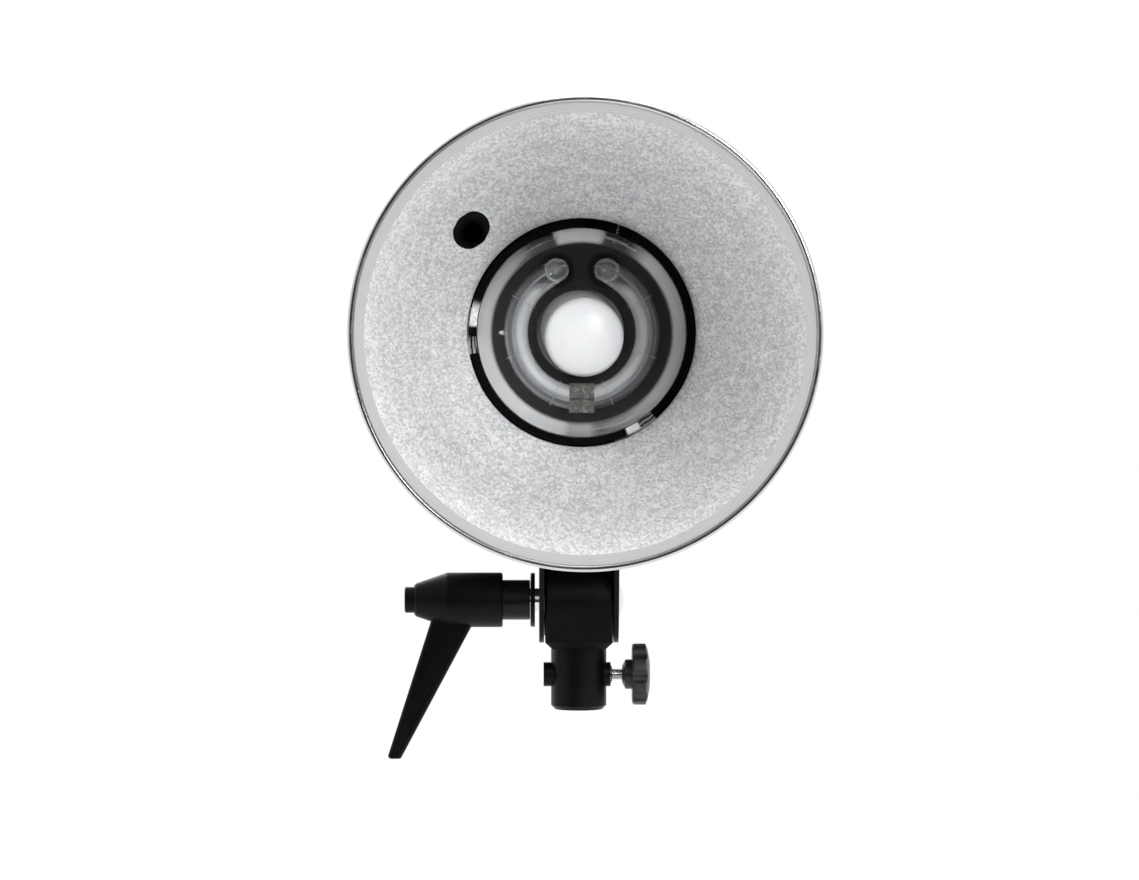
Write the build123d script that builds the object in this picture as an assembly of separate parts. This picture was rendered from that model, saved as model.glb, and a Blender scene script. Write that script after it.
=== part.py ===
from build123d import *
import math
import os

# A studio strobe flash on a tilting stand head, in millimetres.
# The origin is the centre of the stand socket's mouth. +Z is up and the flash faces -Y.
# A station is a place along the flash axis: a lower station is further to the front.

# Clearances, and how far a cut runs past the face that it opens
face_gap = 0.15
running_gap = 0.05
free_gap = 0.3
screw_gap = 0.1
tip_gap = 0.25
overcut = 1.0
fine_edge = 0.4
small_edge = 0.8

# Stand head: the block that the stand's stud goes into
pivot_height = 46.0
stud_bore_radius = 8.05
stud_bore_depth = 34.0
socket_wall = 3.6
mouth_chamfer = 1.7
block_width = 28.3
block_radius = 17.5
block_foot_width = 29.0
shoulder_height = 26.0
shoulder_chamfer = 2.9
block_edge = 1.0
boss_height = 14.6
boss_radius = 5.1
boss_proud = 1.75
boss_back_proud = 1.4
insert_radius = 4.0
insert_proud = 0.6
insert_length = 4.4

# Thumb screw of the stand head
thumb_screw_radius = 2.4
pad_thickness = 1.7
knob_clearance = 4.9
knob_neck_radius = 3.4
knob_hub_radius = 6.25
knob_cone_length = 1.4
knob_hub_length = 2.8
knob_wheel_radius = 13.0
knob_rim_length = 5.6
knob_crown = 1.8
knob_crown_radius = 5.85
knob_shoulder = 2.2
knob_lobes = 8
knob_scallop_radius = 3.6
knob_scallop_depth = 1.7

# Tilt bracket, its pivot bolt and washers
bracket_width = 33.3
bracket_steel = 2.0
bracket_length = 70.0
bracket_tail_radius = 18.0
bracket_cheek_depth = 10.0
bolt_radius = 5.0
bolt_square = 10.4
bolt_head_radius = 7.65
bolt_head_height = 2.3
bolt_reach = 46.0
washer_radius = 15.0
washer_thickness = 0.35
flange_radius = 11.35
flange_thickness = 1.9
bracket_screw_radius = 2.0
bracket_screw_head = 3.6
bracket_screw_head_height = 2.4
bracket_screw_length = 9.0
bracket_screw_x = 9.5
bracket_screw_y = 26.0
bracket_boss_radius = 4.5
bracket_boss_height = 8.0

# Clamp lever on the pivot bolt
lever_start = 20.5
sleeve_radius = 8.4
sleeve_showing = 11.5
sleeve_length = 27.5
lever_hub_radius = 11.5
lever_hub_length = 23.4
lever_hub_edge = 0.6
lever_cone_length = 13.8
lever_end_radius = 7.0
lever_end_chamfer = 0.8
arm_root_shift = 19.9
arm_root_width = 18.9
arm_root_depth = 10.0
arm_root_drop = 6.0
arm_tip_width = 5.8
arm_tip_depth = 5.6
arm_tip_shift = 26.0
arm_tip_drop = 67.0
arm_corner = 1.9
arm_tip_edge = 1.2
button_radius = 5.45
button_travel = 3.0
button_proud = 4.1
button_inset = 1.0
button_stem_radius = 3.4
button_stem_length = 3.0
spring_radius = 5.2
spring_wire = 0.8
spring_length = 7.0

# Lamp head: glass dome, modelling lamp and front plate
dome_radius = 41.8
dome_wall = 2.8
dome_crown = 4.0
dome_corner = 7.0
dome_tube_gap = 6.75
plate_thickness = 2.0
plate_rise = 1.0
plate_gap = 0.6
plate_seat_width = 3.6
plate_lip_width = 1.0
plate_lip_height = 0.8
lamp_radius = 15.85
lamp_hole_gap = 2.15
lamp_front = -99.0
lamp_crown = 5.0
lamp_corner = 4.0
lamp_shoulder = -54.0
lamp_neck_radius = 12.4
lamp_neck_station = -46.0
lamp_cap_radius = 13.1
lamp_cap_length = 22.0
lamp_cap_edge = 2.0
lamp_contact_radius = 4.0
lamp_contact_length = 2.0
lamp_hang_station = -70.0
lamp_droop = 4.8
lamp_swing = 2.6
lamp_socket_radius = 22.0
lamp_socket_lip = 4.0
lamp_socket_play = 0.6
carrier_lap = 8.0
carrier_thickness = 3.0

# Flash tube, its sockets, clip and trigger wire
tube_ring_radius = 26.3
tube_radius = 4.75
tube_wall = 1.1
tube_station = -91.5
tube_leg_angle = 21.4
tube_bend_radius = 6.0
tube_hole_gap = 1.8
tube_leg_rear = -66.0
tube_socket_wall = 3.25
tube_socket_length = 12.0
tube_socket_lap = 4.0
exhaust_tip_length = 2.4
exhaust_tip_radius = 1.3
exhaust_tip_point = 0.4
exhaust_tip_sink = 0.5
seal_length = 8.0
seal_gap = 0.02
electrode_stem_radius = 0.8
electrode_stem_length = 5.0
electrode_radius = 1.9
electrode_length = 4.0
clip_width = 10.0
clip_sheet = 0.5
clip_mouth = 4.0
clip_stalk_width = 5.0
clip_stalk_depth = 3.0
wire_radius = 0.2
wire_turns = 6
wire_margin = 4.0

# Bayonet mount for reflectors
mount_dome_gap = 0.4
mount_wall = 3.0
mount_edge = 0.5
mount_flange_lip = 6.8
mount_flange_thickness = 3.0
mount_front = -92.5
lug_count = 3
lug_first_angle = 59.0
lug_arc = 24.0
lug_thickness = 3.0
lug_setback = 8.0
twist_angle = 16.0
window_margin = 1.0

# Reflector
reflector_radius = 90.0
reflector_depth = 105.0
throat_gap = 0.7
throat_station = -95.0
reflector_sheet = 0.8
bead_radius = 1.25
rim_flat_width = 6.0
rim_flat_offset = 0.5
bowl_belly = 2.6
neck_length = 9.0
collar_wall = 3.2
collar_setback = 1.5
collar_edge = 0.6
collar_rear_gap = 2.0
rivet_radius = 1.2
rivet_head = 2.4
rivet_head_height = 0.9

# Umbrella shaft and its clamp
umbrella_bore_radius = 4.1
umbrella_tube_radius = 5.5
umbrella_tube_proud = 1.0
umbrella_margin = 2.1
umbrella_angle = 137.3
umbrella_hole_radius = 5.75
umbrella_hole_shift = 4.2
umbrella_clamp_inset = 7.0
umbrella_pad_length = 1.6
umbrella_pad_gap = 0.2
umbrella_screw_radius = 2.0
umbrella_knob_radius = 7.5
umbrella_knob_length = 9.0
umbrella_knob_gap = 4.5
umbrella_knob_edge = 1.0
umbrella_knob_grooves = 8
umbrella_groove_radius = 1.3
umbrella_groove_shift = 0.7

# Lamp housing
axis_above_pivot = 113.0
housing_margin = 7.0
housing_corner = 20.0
housing_wall = 2.6
casting_front = -73.0
casting_thickness = 14.0
casting_edge = 3.0
spigot_length = 5.0
spigot_land = 8.0
housing_rear = 140.0
panel_thickness = 3.0
hood_length = 11.0
hood_wall = 3.0
hood_edge = 1.2
split_groove = 0.8
vent_width = 2.6
vent_length = 30.0
vent_pitch = 6.5
vent_count = 8
vent_first_station = 70.0
vent_rise = 22.0
side_rib_width = 1.6
side_rib_depth = 0.7
side_rib_margin = 6.0
side_rib_rises = (12.0, 20.0, 28.0)
case_screw_radius = 1.9
case_screw_head = 3.4
case_screw_head_height = 2.0
case_screw_length = 9.0
case_screw_inset = 11.0
case_screw_sink = 3.0
case_screw_bite = 8.0
boss_offset = 6.0
case_boss_radius = 5.0
case_boss_length = 12.0
case_boss_skin = 0.5

# Insides
chassis_drop = 46.0
chassis_sheet = 1.5
chassis_width = 96.0
chassis_front = -38.0
chassis_rear = 118.0
chassis_wall_station = -15.0
chassis_wall_rise = 12.0
chassis_foot_inset = 16.0
chassis_foot_radius = 4.0
chassis_foot_margin = 10.0
board_thickness = 1.6
board_station = 12.0
board_width = 92.0
board_height = 78.0
capacitor_radius = 17.0
capacitor_length = 76.0
capacitor_spacing = 19.5
capacitor_skirt = 0.5
capacitor_gap = 1.0
transformer_radius = 11.0
transformer_length = 18.0
transformer_inset = 4.0
transformer_lift = 0.2
transformer_stem = 4.0
transformer_stem_radius = 7.0
fan_size = 60.0
fan_depth = 20.0
fan_station = 100.0
fan_rise = 12.0
fan_corner = 4.0
fan_wall = 1.5
fan_stator_depth = 2.0
fan_struts = 3
fan_strut_width = 3.0
fan_blades = 7
fan_pitch = 38.0
fan_blade_thickness = 1.2
fan_blade_chord = 14.25
fan_blade_inset = 0.5
fan_blade_root = 2.0
fan_tab_x = 22.0
fan_tab_width = 8.0
fan_tab_lap = 6.0
fan_hub_radius = 12.5
fan_hub_edge = 1.5
fan_ring_gap = 1.2
fan_rotor_front_gap = 2.0
fan_rotor_rear_gap = 3.0
fan_shaft_radius = 1.5
fan_shaft_inset = 4.0
control_board_station = 130.0
control_board_width = 70.0
control_board_height = 62.0
control_board_rise = 18.0
post_radius = 3.0
post_inset = 4.0

# Controls on the rear panel
dial_radius = 13.0
dial_height = 10.0
dial_gap = 0.4
dial_edge = 1.2
dial_shaft_radius = 3.0
dial_shaft_length = 8.4
dial_flutes = 12
dial_flute_radius = 1.3
dial_flute_shift = 0.6
dial_flute_floor = 2.5
dial_x = 27.0
dial_rise = 26.0
pointer_width = 1.2
pointer_length = 9.1
pointer_shift = 7.15
pointer_depth = 0.6
push_count = 4
push_radius = 4.0
push_proud = 3.5
push_spacing = 13.0
push_rise = -2.0
push_stem_front = 134.0
push_flange_lip = 1.2
push_flange_depth = 2.0
rocker_width = 13.0
rocker_height = 19.0
rocker_x = 34.0
rocker_drop = 33.0
rocker_tilt = 11.0
rocker_bezel = 2.0
rocker_bezel_lip = 2.5
rocker_proud = 4.0
rocker_dish = 1.8
rocker_back = 4.75
inlet_width = 28.6
inlet_height = 20.8
inlet_corner = 2.5
inlet_front = 122.0
inlet_flange = 1.5
inlet_flange_lip = 2.5
inlet_x = -30.0
inlet_drop = 33.0
inlet_wall = 2.2
inlet_pin_x = 7.0
inlet_pin_rise = 2.0
inlet_pin_width = 2.0
inlet_pin_height = 4.0
inlet_pin_length = 14.0
inlet_pin_tail = 4.0
inlet_pin_edge = 0.5
fuse_radius = 6.0
fuse_length = 6.0
fuse_stem_radius = 5.0
fuse_stem_length = 13.3
fuse_drop = 38.0
fuse_slot_width = 1.4
fuse_slot_length = 10.0
fuse_slot_depth = 1.4
jack_radius = 4.2
jack_nut = 2.5
jack_bush_radius = 3.0
jack_length = 15.0
jack_bore_radius = 1.8
jack_depth = 14.0
jack_x = -40.0
jack_rise = -2.0
sensor_radius = 6.0
sensor_stem_radius = 5.0
sensor_stem_length = 5.0
sensor_rise = 45.0
indicator_radius = 1.5
indicator_length = 5.0
indicator_proud = 1.0
indicator_rise = 9.0

# Places and sizes worked out from the ones above
axis_height = pivot_height + axis_above_pivot
socket_radius = stud_bore_radius + socket_wall
boss_reach = socket_radius + boss_proud
insert_end = boss_reach + insert_proud
knob_start = boss_reach + knob_clearance
knob_hub_start = knob_start + knob_cone_length
knob_wheel_start = knob_hub_start + knob_hub_length
knob_wheel_end = knob_wheel_start + knob_rim_length
thumb_screw_end = knob_wheel_start + knob_rim_length / 2
cheek_outer = bracket_width / 2
cheek_inner = cheek_outer - bracket_steel
lever_hub_start = lever_start + sleeve_showing
lever_cone_start = lever_hub_start + lever_hub_length
lever_end = lever_cone_start + lever_cone_length
spring_room = button_travel + spring_length

mount_inner_radius = dome_radius + mount_dome_gap
mount_outer_radius = mount_inner_radius + mount_wall
mount_flange_radius = mount_outer_radius + mount_flange_lip
mount_flange_front = casting_front - mount_flange_thickness
lug_inner_radius = mount_inner_radius + free_gap
lug_front = mount_front + lug_setback
throat_radius = mount_outer_radius + throat_gap
rim_station = throat_station - reflector_depth
rim_flat_inner = reflector_radius - rim_flat_width
collar_bore = throat_radius + reflector_sheet + running_gap
collar_outer = collar_bore + collar_wall
collar_front = throat_station + collar_setback
collar_rear = mount_flange_front - collar_rear_gap

plate_radius = mount_inner_radius - plate_gap
plate_front = mount_flange_front - plate_thickness + plate_rise
lamp_well_radius = plate_radius - plate_seat_width
lamp_hole_radius = lamp_radius + lamp_hole_gap
tube_hole_radius = tube_radius + tube_hole_gap
tube_socket_radius = tube_radius + tube_socket_wall
dome_front = tube_station - tube_radius - dome_tube_gap

housing_half = mount_flange_radius + housing_margin
housing_width = 2 * housing_half
housing_floor = axis_height - housing_half
shell_front = casting_front + casting_thickness
spigot_rear = shell_front + spigot_length
panel_face = housing_rear + panel_thickness
hood_rear = panel_face + hood_length
umbrella_circle = mount_flange_radius + umbrella_tube_radius + umbrella_margin
umbrella_x = umbrella_circle * math.cos(math.radians(umbrella_angle))
umbrella_rise = umbrella_circle * math.sin(math.radians(umbrella_angle))
umbrella_clamp_station = casting_front + umbrella_clamp_inset
umbrella_knob_start = -housing_half - umbrella_knob_gap
umbrella_screw_tip = umbrella_x - umbrella_bore_radius - umbrella_pad_gap - umbrella_pad_length - face_gap
fan_opening = fan_size / 2 - fan_wall
rocker_pivot_station = panel_face - panel_thickness / 2

flash_axis = Axis((0, 0, axis_height), (0, 1, 0))
pivot_axis = Axis((0, 0, pivot_height), (1, 0, 0))
boss_axis = Axis((0, 0, boss_height), (1, 0, 0))


# Helpers: the ways in which the pieces are formed

def turned(outline):
    # A closed outline of (radius, station) points turned round the flash axis
    points = [(radius, station, axis_height) for radius, station in outline]
    return revolve(make_face(Polyline(*points, close=True)), axis=flash_axis, revolution_arc=360)


def turned_across(outline, axis, height):
    # A closed outline of (x, radius) points turned round a crosswise axis at a height
    points = [(x, 0, height + radius) for x, radius in outline]
    return revolve(make_face(Polyline(*points, close=True)), axis=axis, revolution_arc=360)


def slab(sketch, front, rear):
    # A flat outline, seen from the front, carried between two stations
    plane = Plane(origin=(0, rear, axis_height), x_dir=(1, 0, 0), z_dir=(0, -1, 0))
    return extrude(plane * sketch, rear - front)


def cross_bar(sketch, left, right, height):
    # An outline in the Y-Z plane about a height, carried from left to right
    plane = Plane(origin=(left, 0, height), x_dir=(0, 1, 0), z_dir=(1, 0, 0))
    return extrude(plane * sketch, right - left)


def upright(sketch, bottom, top):
    # An outline seen from above, carried upwards
    return extrude(Plane.XY.offset(bottom) * sketch, top - bottom)


def clock_point(radius, angle):
    # A point about the flash axis: 0 degrees to the right, 90 degrees up
    return radius * math.cos(math.radians(angle)), radius * math.sin(math.radians(angle))


def rod(x, rise, radius, front, rear):
    # A round rod parallel to the flash axis
    return slab(Pos(x, rise) * Circle(radius), front, rear)


def sector(inner, outer, start, sweep, front, rear):
    # A piece of a ring about the flash axis, from one angle through a sweep
    middle = start + sweep / 2
    stop = start + sweep
    outline = Line(clock_point(inner, start), clock_point(outer, start))
    outline += ThreePointArc(clock_point(outer, start), clock_point(outer, middle), clock_point(outer, stop))
    outline += Line(clock_point(outer, stop), clock_point(inner, stop))
    outline += ThreePointArc(clock_point(inner, stop), clock_point(inner, middle), clock_point(inner, start))
    return slab(make_face(outline), front, rear)


def housing_section(width, corner):
    return RectangleRounded(width, width, corner)


def tube_leg(side):
    # Centre of one leg of the flash tube. The legs leave the ring on a tangent, so their circle is larger
    return clock_point(math.hypot(tube_ring_radius, tube_bend_radius), 90 - side * tube_leg_angle)


def ring_end_angle():
    # Angle from the top at which the ring of the flash tube ends and a leg's bend begins
    return tube_leg_angle + math.degrees(math.atan2(tube_bend_radius, tube_ring_radius))


def lug_angles():
    return [lug_first_angle + index * 360 / lug_count for index in range(lug_count)]


def bracket_screw_places():
    return [(x, y) for x in (-bracket_screw_x, bracket_screw_x) for y in (-bracket_screw_y, bracket_screw_y)]


def case_screw_places():
    # Three corners: the umbrella tube ties the fourth
    reach = housing_half - case_screw_inset
    return [(-reach, -reach), (reach, -reach), (reach, reach)]


def push_places():
    first = -(push_count - 1) * push_spacing / 2
    return [(first + index * push_spacing, push_rise) for index in range(push_count)]


def indicator_places():
    return [(x, indicator_rise) for x, rise in push_places()]


def inlet_pin_places():
    return [(-inlet_pin_x, -inlet_pin_rise), (inlet_pin_x, -inlet_pin_rise), (0, inlet_pin_rise)]


# Stand head

def stand_socket():
    foot_drop = pivot_height - shoulder_height
    foot = Pos(0, -foot_drop + block_edge) * Rectangle(block_foot_width, 2 * block_edge)
    side = make_hull(Circle(block_radius).edges() + foot.edges())
    block = cross_bar(side, -block_width / 2, block_width / 2, pivot_height)
    block = chamfer(block.faces().sort_by(Axis.Z)[0].edges(), shoulder_chamfer)
    ends = block.faces().filter_by(Axis.X)
    block = fillet([edge for face in ends for edge in face.edges().filter_by(GeomType.CIRCLE)], block_edge)
    socket = upright(Circle(socket_radius), 0, shoulder_height + shoulder_chamfer)
    socket = chamfer(socket.faces().sort_by(Axis.Z)[0].edges(), mouth_chamfer)
    boss = cross_bar(Circle(boss_radius), -boss_reach - boss_back_proud, boss_reach, boss_height)
    body = block + socket + boss
    body -= upright(Circle(stud_bore_radius), 0, stud_bore_depth)
    body -= cross_bar(Circle(bolt_radius + running_gap), -block_width, block_width, pivot_height)
    body -= cross_bar(Circle(thumb_screw_radius + running_gap), 0, boss_reach, boss_height)
    pocket_start = insert_end - insert_length
    return body - cross_bar(Circle(insert_radius), pocket_start, boss_reach + overcut, boss_height)


def socket_insert():
    start = insert_end - insert_length
    bush = cross_bar(Circle(insert_radius), start, insert_end, boss_height)
    bush = chamfer(bush.faces().sort_by(Axis.X)[-1].edges(), fine_edge)
    return bush - cross_bar(Circle(thumb_screw_radius + running_gap), start, insert_end, boss_height)


def friction_washers():
    ring = Circle(washer_radius) - Circle(bolt_radius + free_gap)
    start = block_width / 2
    right = cross_bar(ring, start, start + washer_thickness, pivot_height)
    left = cross_bar(ring, -start - washer_thickness, -start, pivot_height)
    return right + left


def clamp_pad():
    start = stud_bore_radius + tip_gap
    pad = cross_bar(Circle(thumb_screw_radius - running_gap), start, start + pad_thickness, boss_height)
    return chamfer(pad.faces().sort_by(Axis.X)[0].edges(), fine_edge)


def clamp_screw():
    start = stud_bore_radius + tip_gap + pad_thickness + face_gap
    screw = cross_bar(Circle(thumb_screw_radius), start, thumb_screw_end, boss_height)
    return chamfer(screw.faces().sort_by(Axis.X)[0].edges(), fine_edge)


def clamp_knob():
    knob = turned_across(
        [
            (knob_start, 0),
            (knob_start, knob_neck_radius),
            (knob_hub_start, knob_hub_radius),
            (knob_wheel_start, knob_hub_radius),
            (knob_wheel_start, knob_wheel_radius - small_edge),
            (knob_wheel_start + small_edge, knob_wheel_radius),
            (knob_wheel_end, knob_wheel_radius),
            (knob_wheel_end + knob_crown / 2, knob_wheel_radius - knob_shoulder),
            (knob_wheel_end + knob_crown, knob_crown_radius),
            (knob_wheel_end + knob_crown, 0),
        ],
        boss_axis,
        boss_height,
    )
    scallop_circle = knob_wheel_radius + knob_scallop_radius - knob_scallop_depth
    scallops = Sketch() + PolarLocations(scallop_circle, knob_lobes) * Circle(knob_scallop_radius)
    wheel_end = knob_wheel_end + knob_crown
    knob -= cross_bar(scallops, knob_wheel_start - overcut, wheel_end + overcut, boss_height)
    return knob - cross_bar(Circle(thumb_screw_radius), knob_start - overcut, thumb_screw_end, boss_height)


# Tilt bracket and pivot

def tilt_bracket():
    drop = housing_floor - pivot_height
    top = Pos(0, drop - bracket_cheek_depth / 2) * Rectangle(bracket_length, bracket_cheek_depth)
    side = make_hull(Circle(bracket_tail_radius).edges() + top.edges())
    channel = cross_bar(side, -cheek_outer, cheek_outer, pivot_height)
    long_edges = channel.faces().sort_by(Axis.Z)[-1].edges().filter_by(Axis.Y)
    channel = fillet(long_edges, bracket_steel)
    inside_depth = drop + bracket_tail_radius
    inside = Pos(0, drop - bracket_steel - inside_depth) * Rectangle(2 * bracket_length, 2 * inside_depth)
    channel -= cross_bar(inside, -cheek_inner, cheek_inner, pivot_height)
    square = Rectangle(bolt_square, bolt_square)
    channel -= cross_bar(square, cheek_inner - overcut, cheek_outer + overcut, pivot_height)
    channel -= cross_bar(Circle(bolt_radius + screw_gap), -cheek_outer - overcut, 0, pivot_height)
    for x, y in bracket_screw_places():
        hole = Pos(x, y) * Circle(bracket_screw_radius + screw_gap)
        channel -= upright(hole, housing_floor - bracket_steel, housing_floor)
    return channel


def bracket_screws():
    plate_under = housing_floor - bracket_steel
    shank_top = plate_under + bracket_screw_length
    screws = []
    for x, y in bracket_screw_places():
        head_circle = Pos(x, y) * Circle(bracket_screw_head)
        head = upright(head_circle, plate_under - bracket_screw_head_height, plate_under)
        head = chamfer(head.faces().sort_by(Axis.Z)[0].edges(), small_edge)
        screws.append(head + upright(Pos(x, y) * Circle(bracket_screw_radius), plate_under, shank_top))
    return Part() + screws


def pivot_bolt():
    # A crowned head, a square that keeps the bolt from turning in the bracket, and a round shank
    ball_radius = (bolt_head_radius ** 2 + bolt_head_height ** 2) / (2 * bolt_head_height)
    half_radius = bolt_head_radius / 2
    half_x = cheek_outer + bolt_head_height - ball_radius + math.sqrt(ball_radius ** 2 - half_radius ** 2)
    crown_tip = (cheek_outer + bolt_head_height, 0, pivot_height)
    rim = (cheek_outer, 0, pivot_height + bolt_head_radius)
    centre = (cheek_outer, 0, pivot_height)
    outline = ThreePointArc(crown_tip, (half_x, 0, pivot_height + half_radius), rim)
    outline += Polyline(rim, centre, crown_tip)
    head = revolve(make_face(outline), axis=pivot_axis, revolution_arc=360)
    square = cross_bar(Rectangle(bolt_square, bolt_square), cheek_inner, cheek_outer, pivot_height)
    shank = cross_bar(Circle(bolt_radius), -bolt_reach, cheek_outer, pivot_height)
    shank = chamfer(shank.faces().sort_by(Axis.X)[0].edges(), small_edge)
    return head + square + shank


def flange_washer():
    start = -lever_start + face_gap
    ring = Circle(flange_radius) - Circle(bolt_radius + screw_gap)
    washer = cross_bar(ring, start, start + flange_thickness, pivot_height)
    rim = washer.edges().filter_by(GeomType.CIRCLE).sort_by(Axis.X)[0:1]
    return chamfer(rim, fine_edge)


# Clamp lever

def clamp_lever():
    lever = turned_across(
        [
            (-lever_hub_start, 0),
            (-lever_hub_start, lever_hub_radius - lever_hub_edge),
            (-lever_hub_start - lever_hub_edge, lever_hub_radius),
            (-lever_cone_start, lever_hub_radius),
            (-lever_end + lever_end_chamfer, lever_end_radius),
            (-lever_end, lever_end_radius - lever_end_chamfer),
            (-lever_end, 0),
        ],
        pivot_axis,
        pivot_height,
    )
    root_x = -(lever_hub_start + arm_root_shift)
    root = Pos(root_x, 0) * RectangleRounded(arm_root_width, arm_root_depth, arm_corner)
    tip = Pos(root_x - arm_tip_shift, 0) * RectangleRounded(arm_tip_width, arm_tip_depth, arm_corner)
    root_plane = Plane.XY.offset(pivot_height - arm_root_drop)
    tip_plane = Plane.XY.offset(pivot_height - arm_tip_drop)
    arm = loft(Sketch() + [root_plane * root, tip_plane * tip])
    lever += fillet(arm.faces().sort_by(Axis.Z)[0].edges(), arm_tip_edge)
    pocket_end = -lever_start - sleeve_length - face_gap
    lever -= cross_bar(Circle(sleeve_radius), pocket_end, -lever_hub_start + overcut, pivot_height)
    lever -= cross_bar(Circle(button_stem_radius + free_gap), -lever_end, pocket_end + overcut, pivot_height)
    button_pocket = Circle(button_radius + screw_gap)
    return lever - cross_bar(button_pocket, -lever_end - overcut, -lever_end + spring_room, pivot_height)


def lever_insert():
    sleeve = cross_bar(Circle(sleeve_radius), -lever_start - sleeve_length, -lever_start, pivot_height)
    sleeve = chamfer(sleeve.faces().sort_by(Axis.X)[-1].edges(), fine_edge)
    return sleeve - cross_bar(Circle(bolt_radius + screw_gap), -lever_end, 0, pivot_height)


def lever_button():
    inner = -lever_end + button_inset
    cap = cross_bar(Circle(button_radius), -lever_end - button_proud, inner, pivot_height)
    cap = fillet(cap.faces().sort_by(Axis.X)[0].edges(), small_edge)
    stem_end = -lever_end + spring_room + button_stem_length
    return cap + cross_bar(Circle(button_stem_radius), inner, stem_end, pivot_height)


def lever_spring():
    start = -lever_end + button_inset + face_gap
    ring = Circle(spring_radius) - Circle(spring_radius - spring_wire)
    return cross_bar(ring, start, -lever_end + spring_room - face_gap, pivot_height)


# Housing

def housing_shell(upper):
    # Half of the square tube that covers the flash, with grooves along its sides and rows of vents
    outer = housing_section(housing_width, housing_corner)
    inner = housing_section(housing_width - 2 * housing_wall, housing_corner - housing_wall)
    side = 1 if upper else -1
    cover_centre = side * (housing_half + split_groove / 4)
    cover = Pos(0, cover_centre) * Rectangle(2 * housing_width, housing_width)
    shell = slab((outer - inner) & cover, shell_front, housing_rear)
    groove_rear = vent_first_station - side_rib_margin
    for rise in side_rib_rises:
        for x in (-housing_half, housing_half):
            groove = Pos(x, side * rise) * Rectangle(2 * side_rib_depth, side_rib_width)
            shell -= slab(groove, shell_front + side_rib_margin, groove_rear)
    for x, rise in case_screw_places():
        if rise * side > 0:
            boss = Pos(x, rise) * (Circle(case_boss_radius) - Circle(case_screw_radius + screw_gap))
            boss_section = boss & housing_section(housing_width - 2 * case_boss_skin, housing_corner)
            front_boss = shell_front + boss_offset
            shell += slab(boss_section, front_boss, front_boss + case_boss_length)
            shell += slab(boss_section, housing_rear - case_boss_length, housing_rear)
    vent = Rectangle(vent_width, vent_length)
    for index in range(vent_count):
        place = Pos(vent_first_station + index * vent_pitch, axis_height + side * vent_rise)
        shell -= extrude(Plane.YZ.offset(-housing_width) * place * vent, 2 * housing_width)
    return shell


def housing_upper():
    return housing_shell(True)


def housing_lower():
    # The lower half also has the bosses that the bracket is screwed to
    shell = housing_shell(False)
    boss_bottom = housing_floor + housing_wall - screw_gap
    boss_top = housing_floor + bracket_boss_height
    for x, y in bracket_screw_places():
        shell += upright(Pos(x, y) * Circle(bracket_boss_radius), boss_bottom, boss_top)
        hole = Pos(x, y) * Circle(bracket_screw_radius + screw_gap)
        shell -= upright(hole, housing_floor, boss_top + overcut)
    return shell


def front_casting():
    casting = slab(housing_section(housing_width, housing_corner), casting_front, shell_front)
    casting = fillet(casting.faces().sort_by(Axis.Y)[0].edges(), casting_edge)
    spigot_width = housing_width - 2 * housing_wall - 2 * screw_gap
    spigot_section = housing_section(spigot_width, housing_corner - housing_wall)
    casting += slab(spigot_section - Circle(lamp_well_radius + spigot_land), shell_front, spigot_rear)
    casting -= rod(0, 0, lamp_well_radius, casting_front, spigot_rear)
    casting -= rod(umbrella_x, umbrella_rise, umbrella_tube_radius, casting_front, spigot_rear)
    casting -= umbrella_rod(umbrella_screw_radius + running_gap, -housing_width, umbrella_x)
    for x, rise in case_screw_places():
        casting -= rod(x, rise, case_screw_radius + screw_gap, casting_front, spigot_rear)
        casting -= rod(x, rise, case_screw_head + screw_gap, casting_front, casting_front + case_screw_sink)
    return casting


def mount_ring():
    # A ring with an L-shaped way for each lug: in from the front, then round to its rest
    ring = turned(
        [
            (mount_inner_radius, mount_front),
            (mount_outer_radius - mount_edge, mount_front),
            (mount_outer_radius, mount_front + mount_edge),
            (mount_outer_radius, mount_flange_front),
            (mount_flange_radius, mount_flange_front),
            (mount_flange_radius, casting_front),
            (mount_inner_radius, casting_front),
        ]
    )
    inner = mount_inner_radius - overcut
    outer = mount_outer_radius + overcut
    slot_front = lug_front - window_margin / 2
    slot_rear = lug_front + lug_thickness + window_margin / 2
    window_arc = lug_arc + 2 * window_margin
    for angle in lug_angles():
        rest_start = angle - window_arc / 2
        open_start = rest_start + twist_angle
        ring -= sector(inner, outer, open_start, window_arc, mount_front - overcut, slot_rear)
        ring -= sector(inner, outer, rest_start, window_arc + twist_angle, slot_front, slot_rear)
    return ring


def housing_screws():
    head_front = casting_front + case_screw_sink - case_screw_head_height
    head_rear = casting_front + case_screw_sink
    shank_rear = shell_front + boss_offset + case_screw_bite
    screws = []
    for x, rise in case_screw_places():
        head = rod(x, rise, case_screw_head, head_front, head_rear)
        screws.append(head + rod(x, rise, case_screw_radius, head_rear, shank_rear))
        head = rod(x, rise, case_screw_head, panel_face, panel_face + case_screw_head_height)
        screws.append(head + rod(x, rise, case_screw_radius, panel_face - case_screw_length, panel_face))
    return Part() + screws


# Umbrella holder

def umbrella_rod(radius, left, right):
    # A round rod along the umbrella clamp's crosswise axis
    bar = cross_bar(Circle(radius), left, right, 0)
    return Pos(0, umbrella_clamp_station, axis_height + umbrella_rise) * bar


def umbrella_tube():
    front = casting_front - umbrella_tube_proud
    rear = panel_face + umbrella_tube_proud
    tube = rod(umbrella_x, umbrella_rise, umbrella_tube_radius, front, rear)
    tube -= rod(umbrella_x, umbrella_rise, umbrella_bore_radius, front, rear)
    return tube - umbrella_rod(umbrella_screw_radius + running_gap, -housing_half, umbrella_x)


def umbrella_pad():
    start = umbrella_screw_tip + face_gap
    return umbrella_rod(umbrella_screw_radius - running_gap, start, start + umbrella_pad_length)


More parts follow.
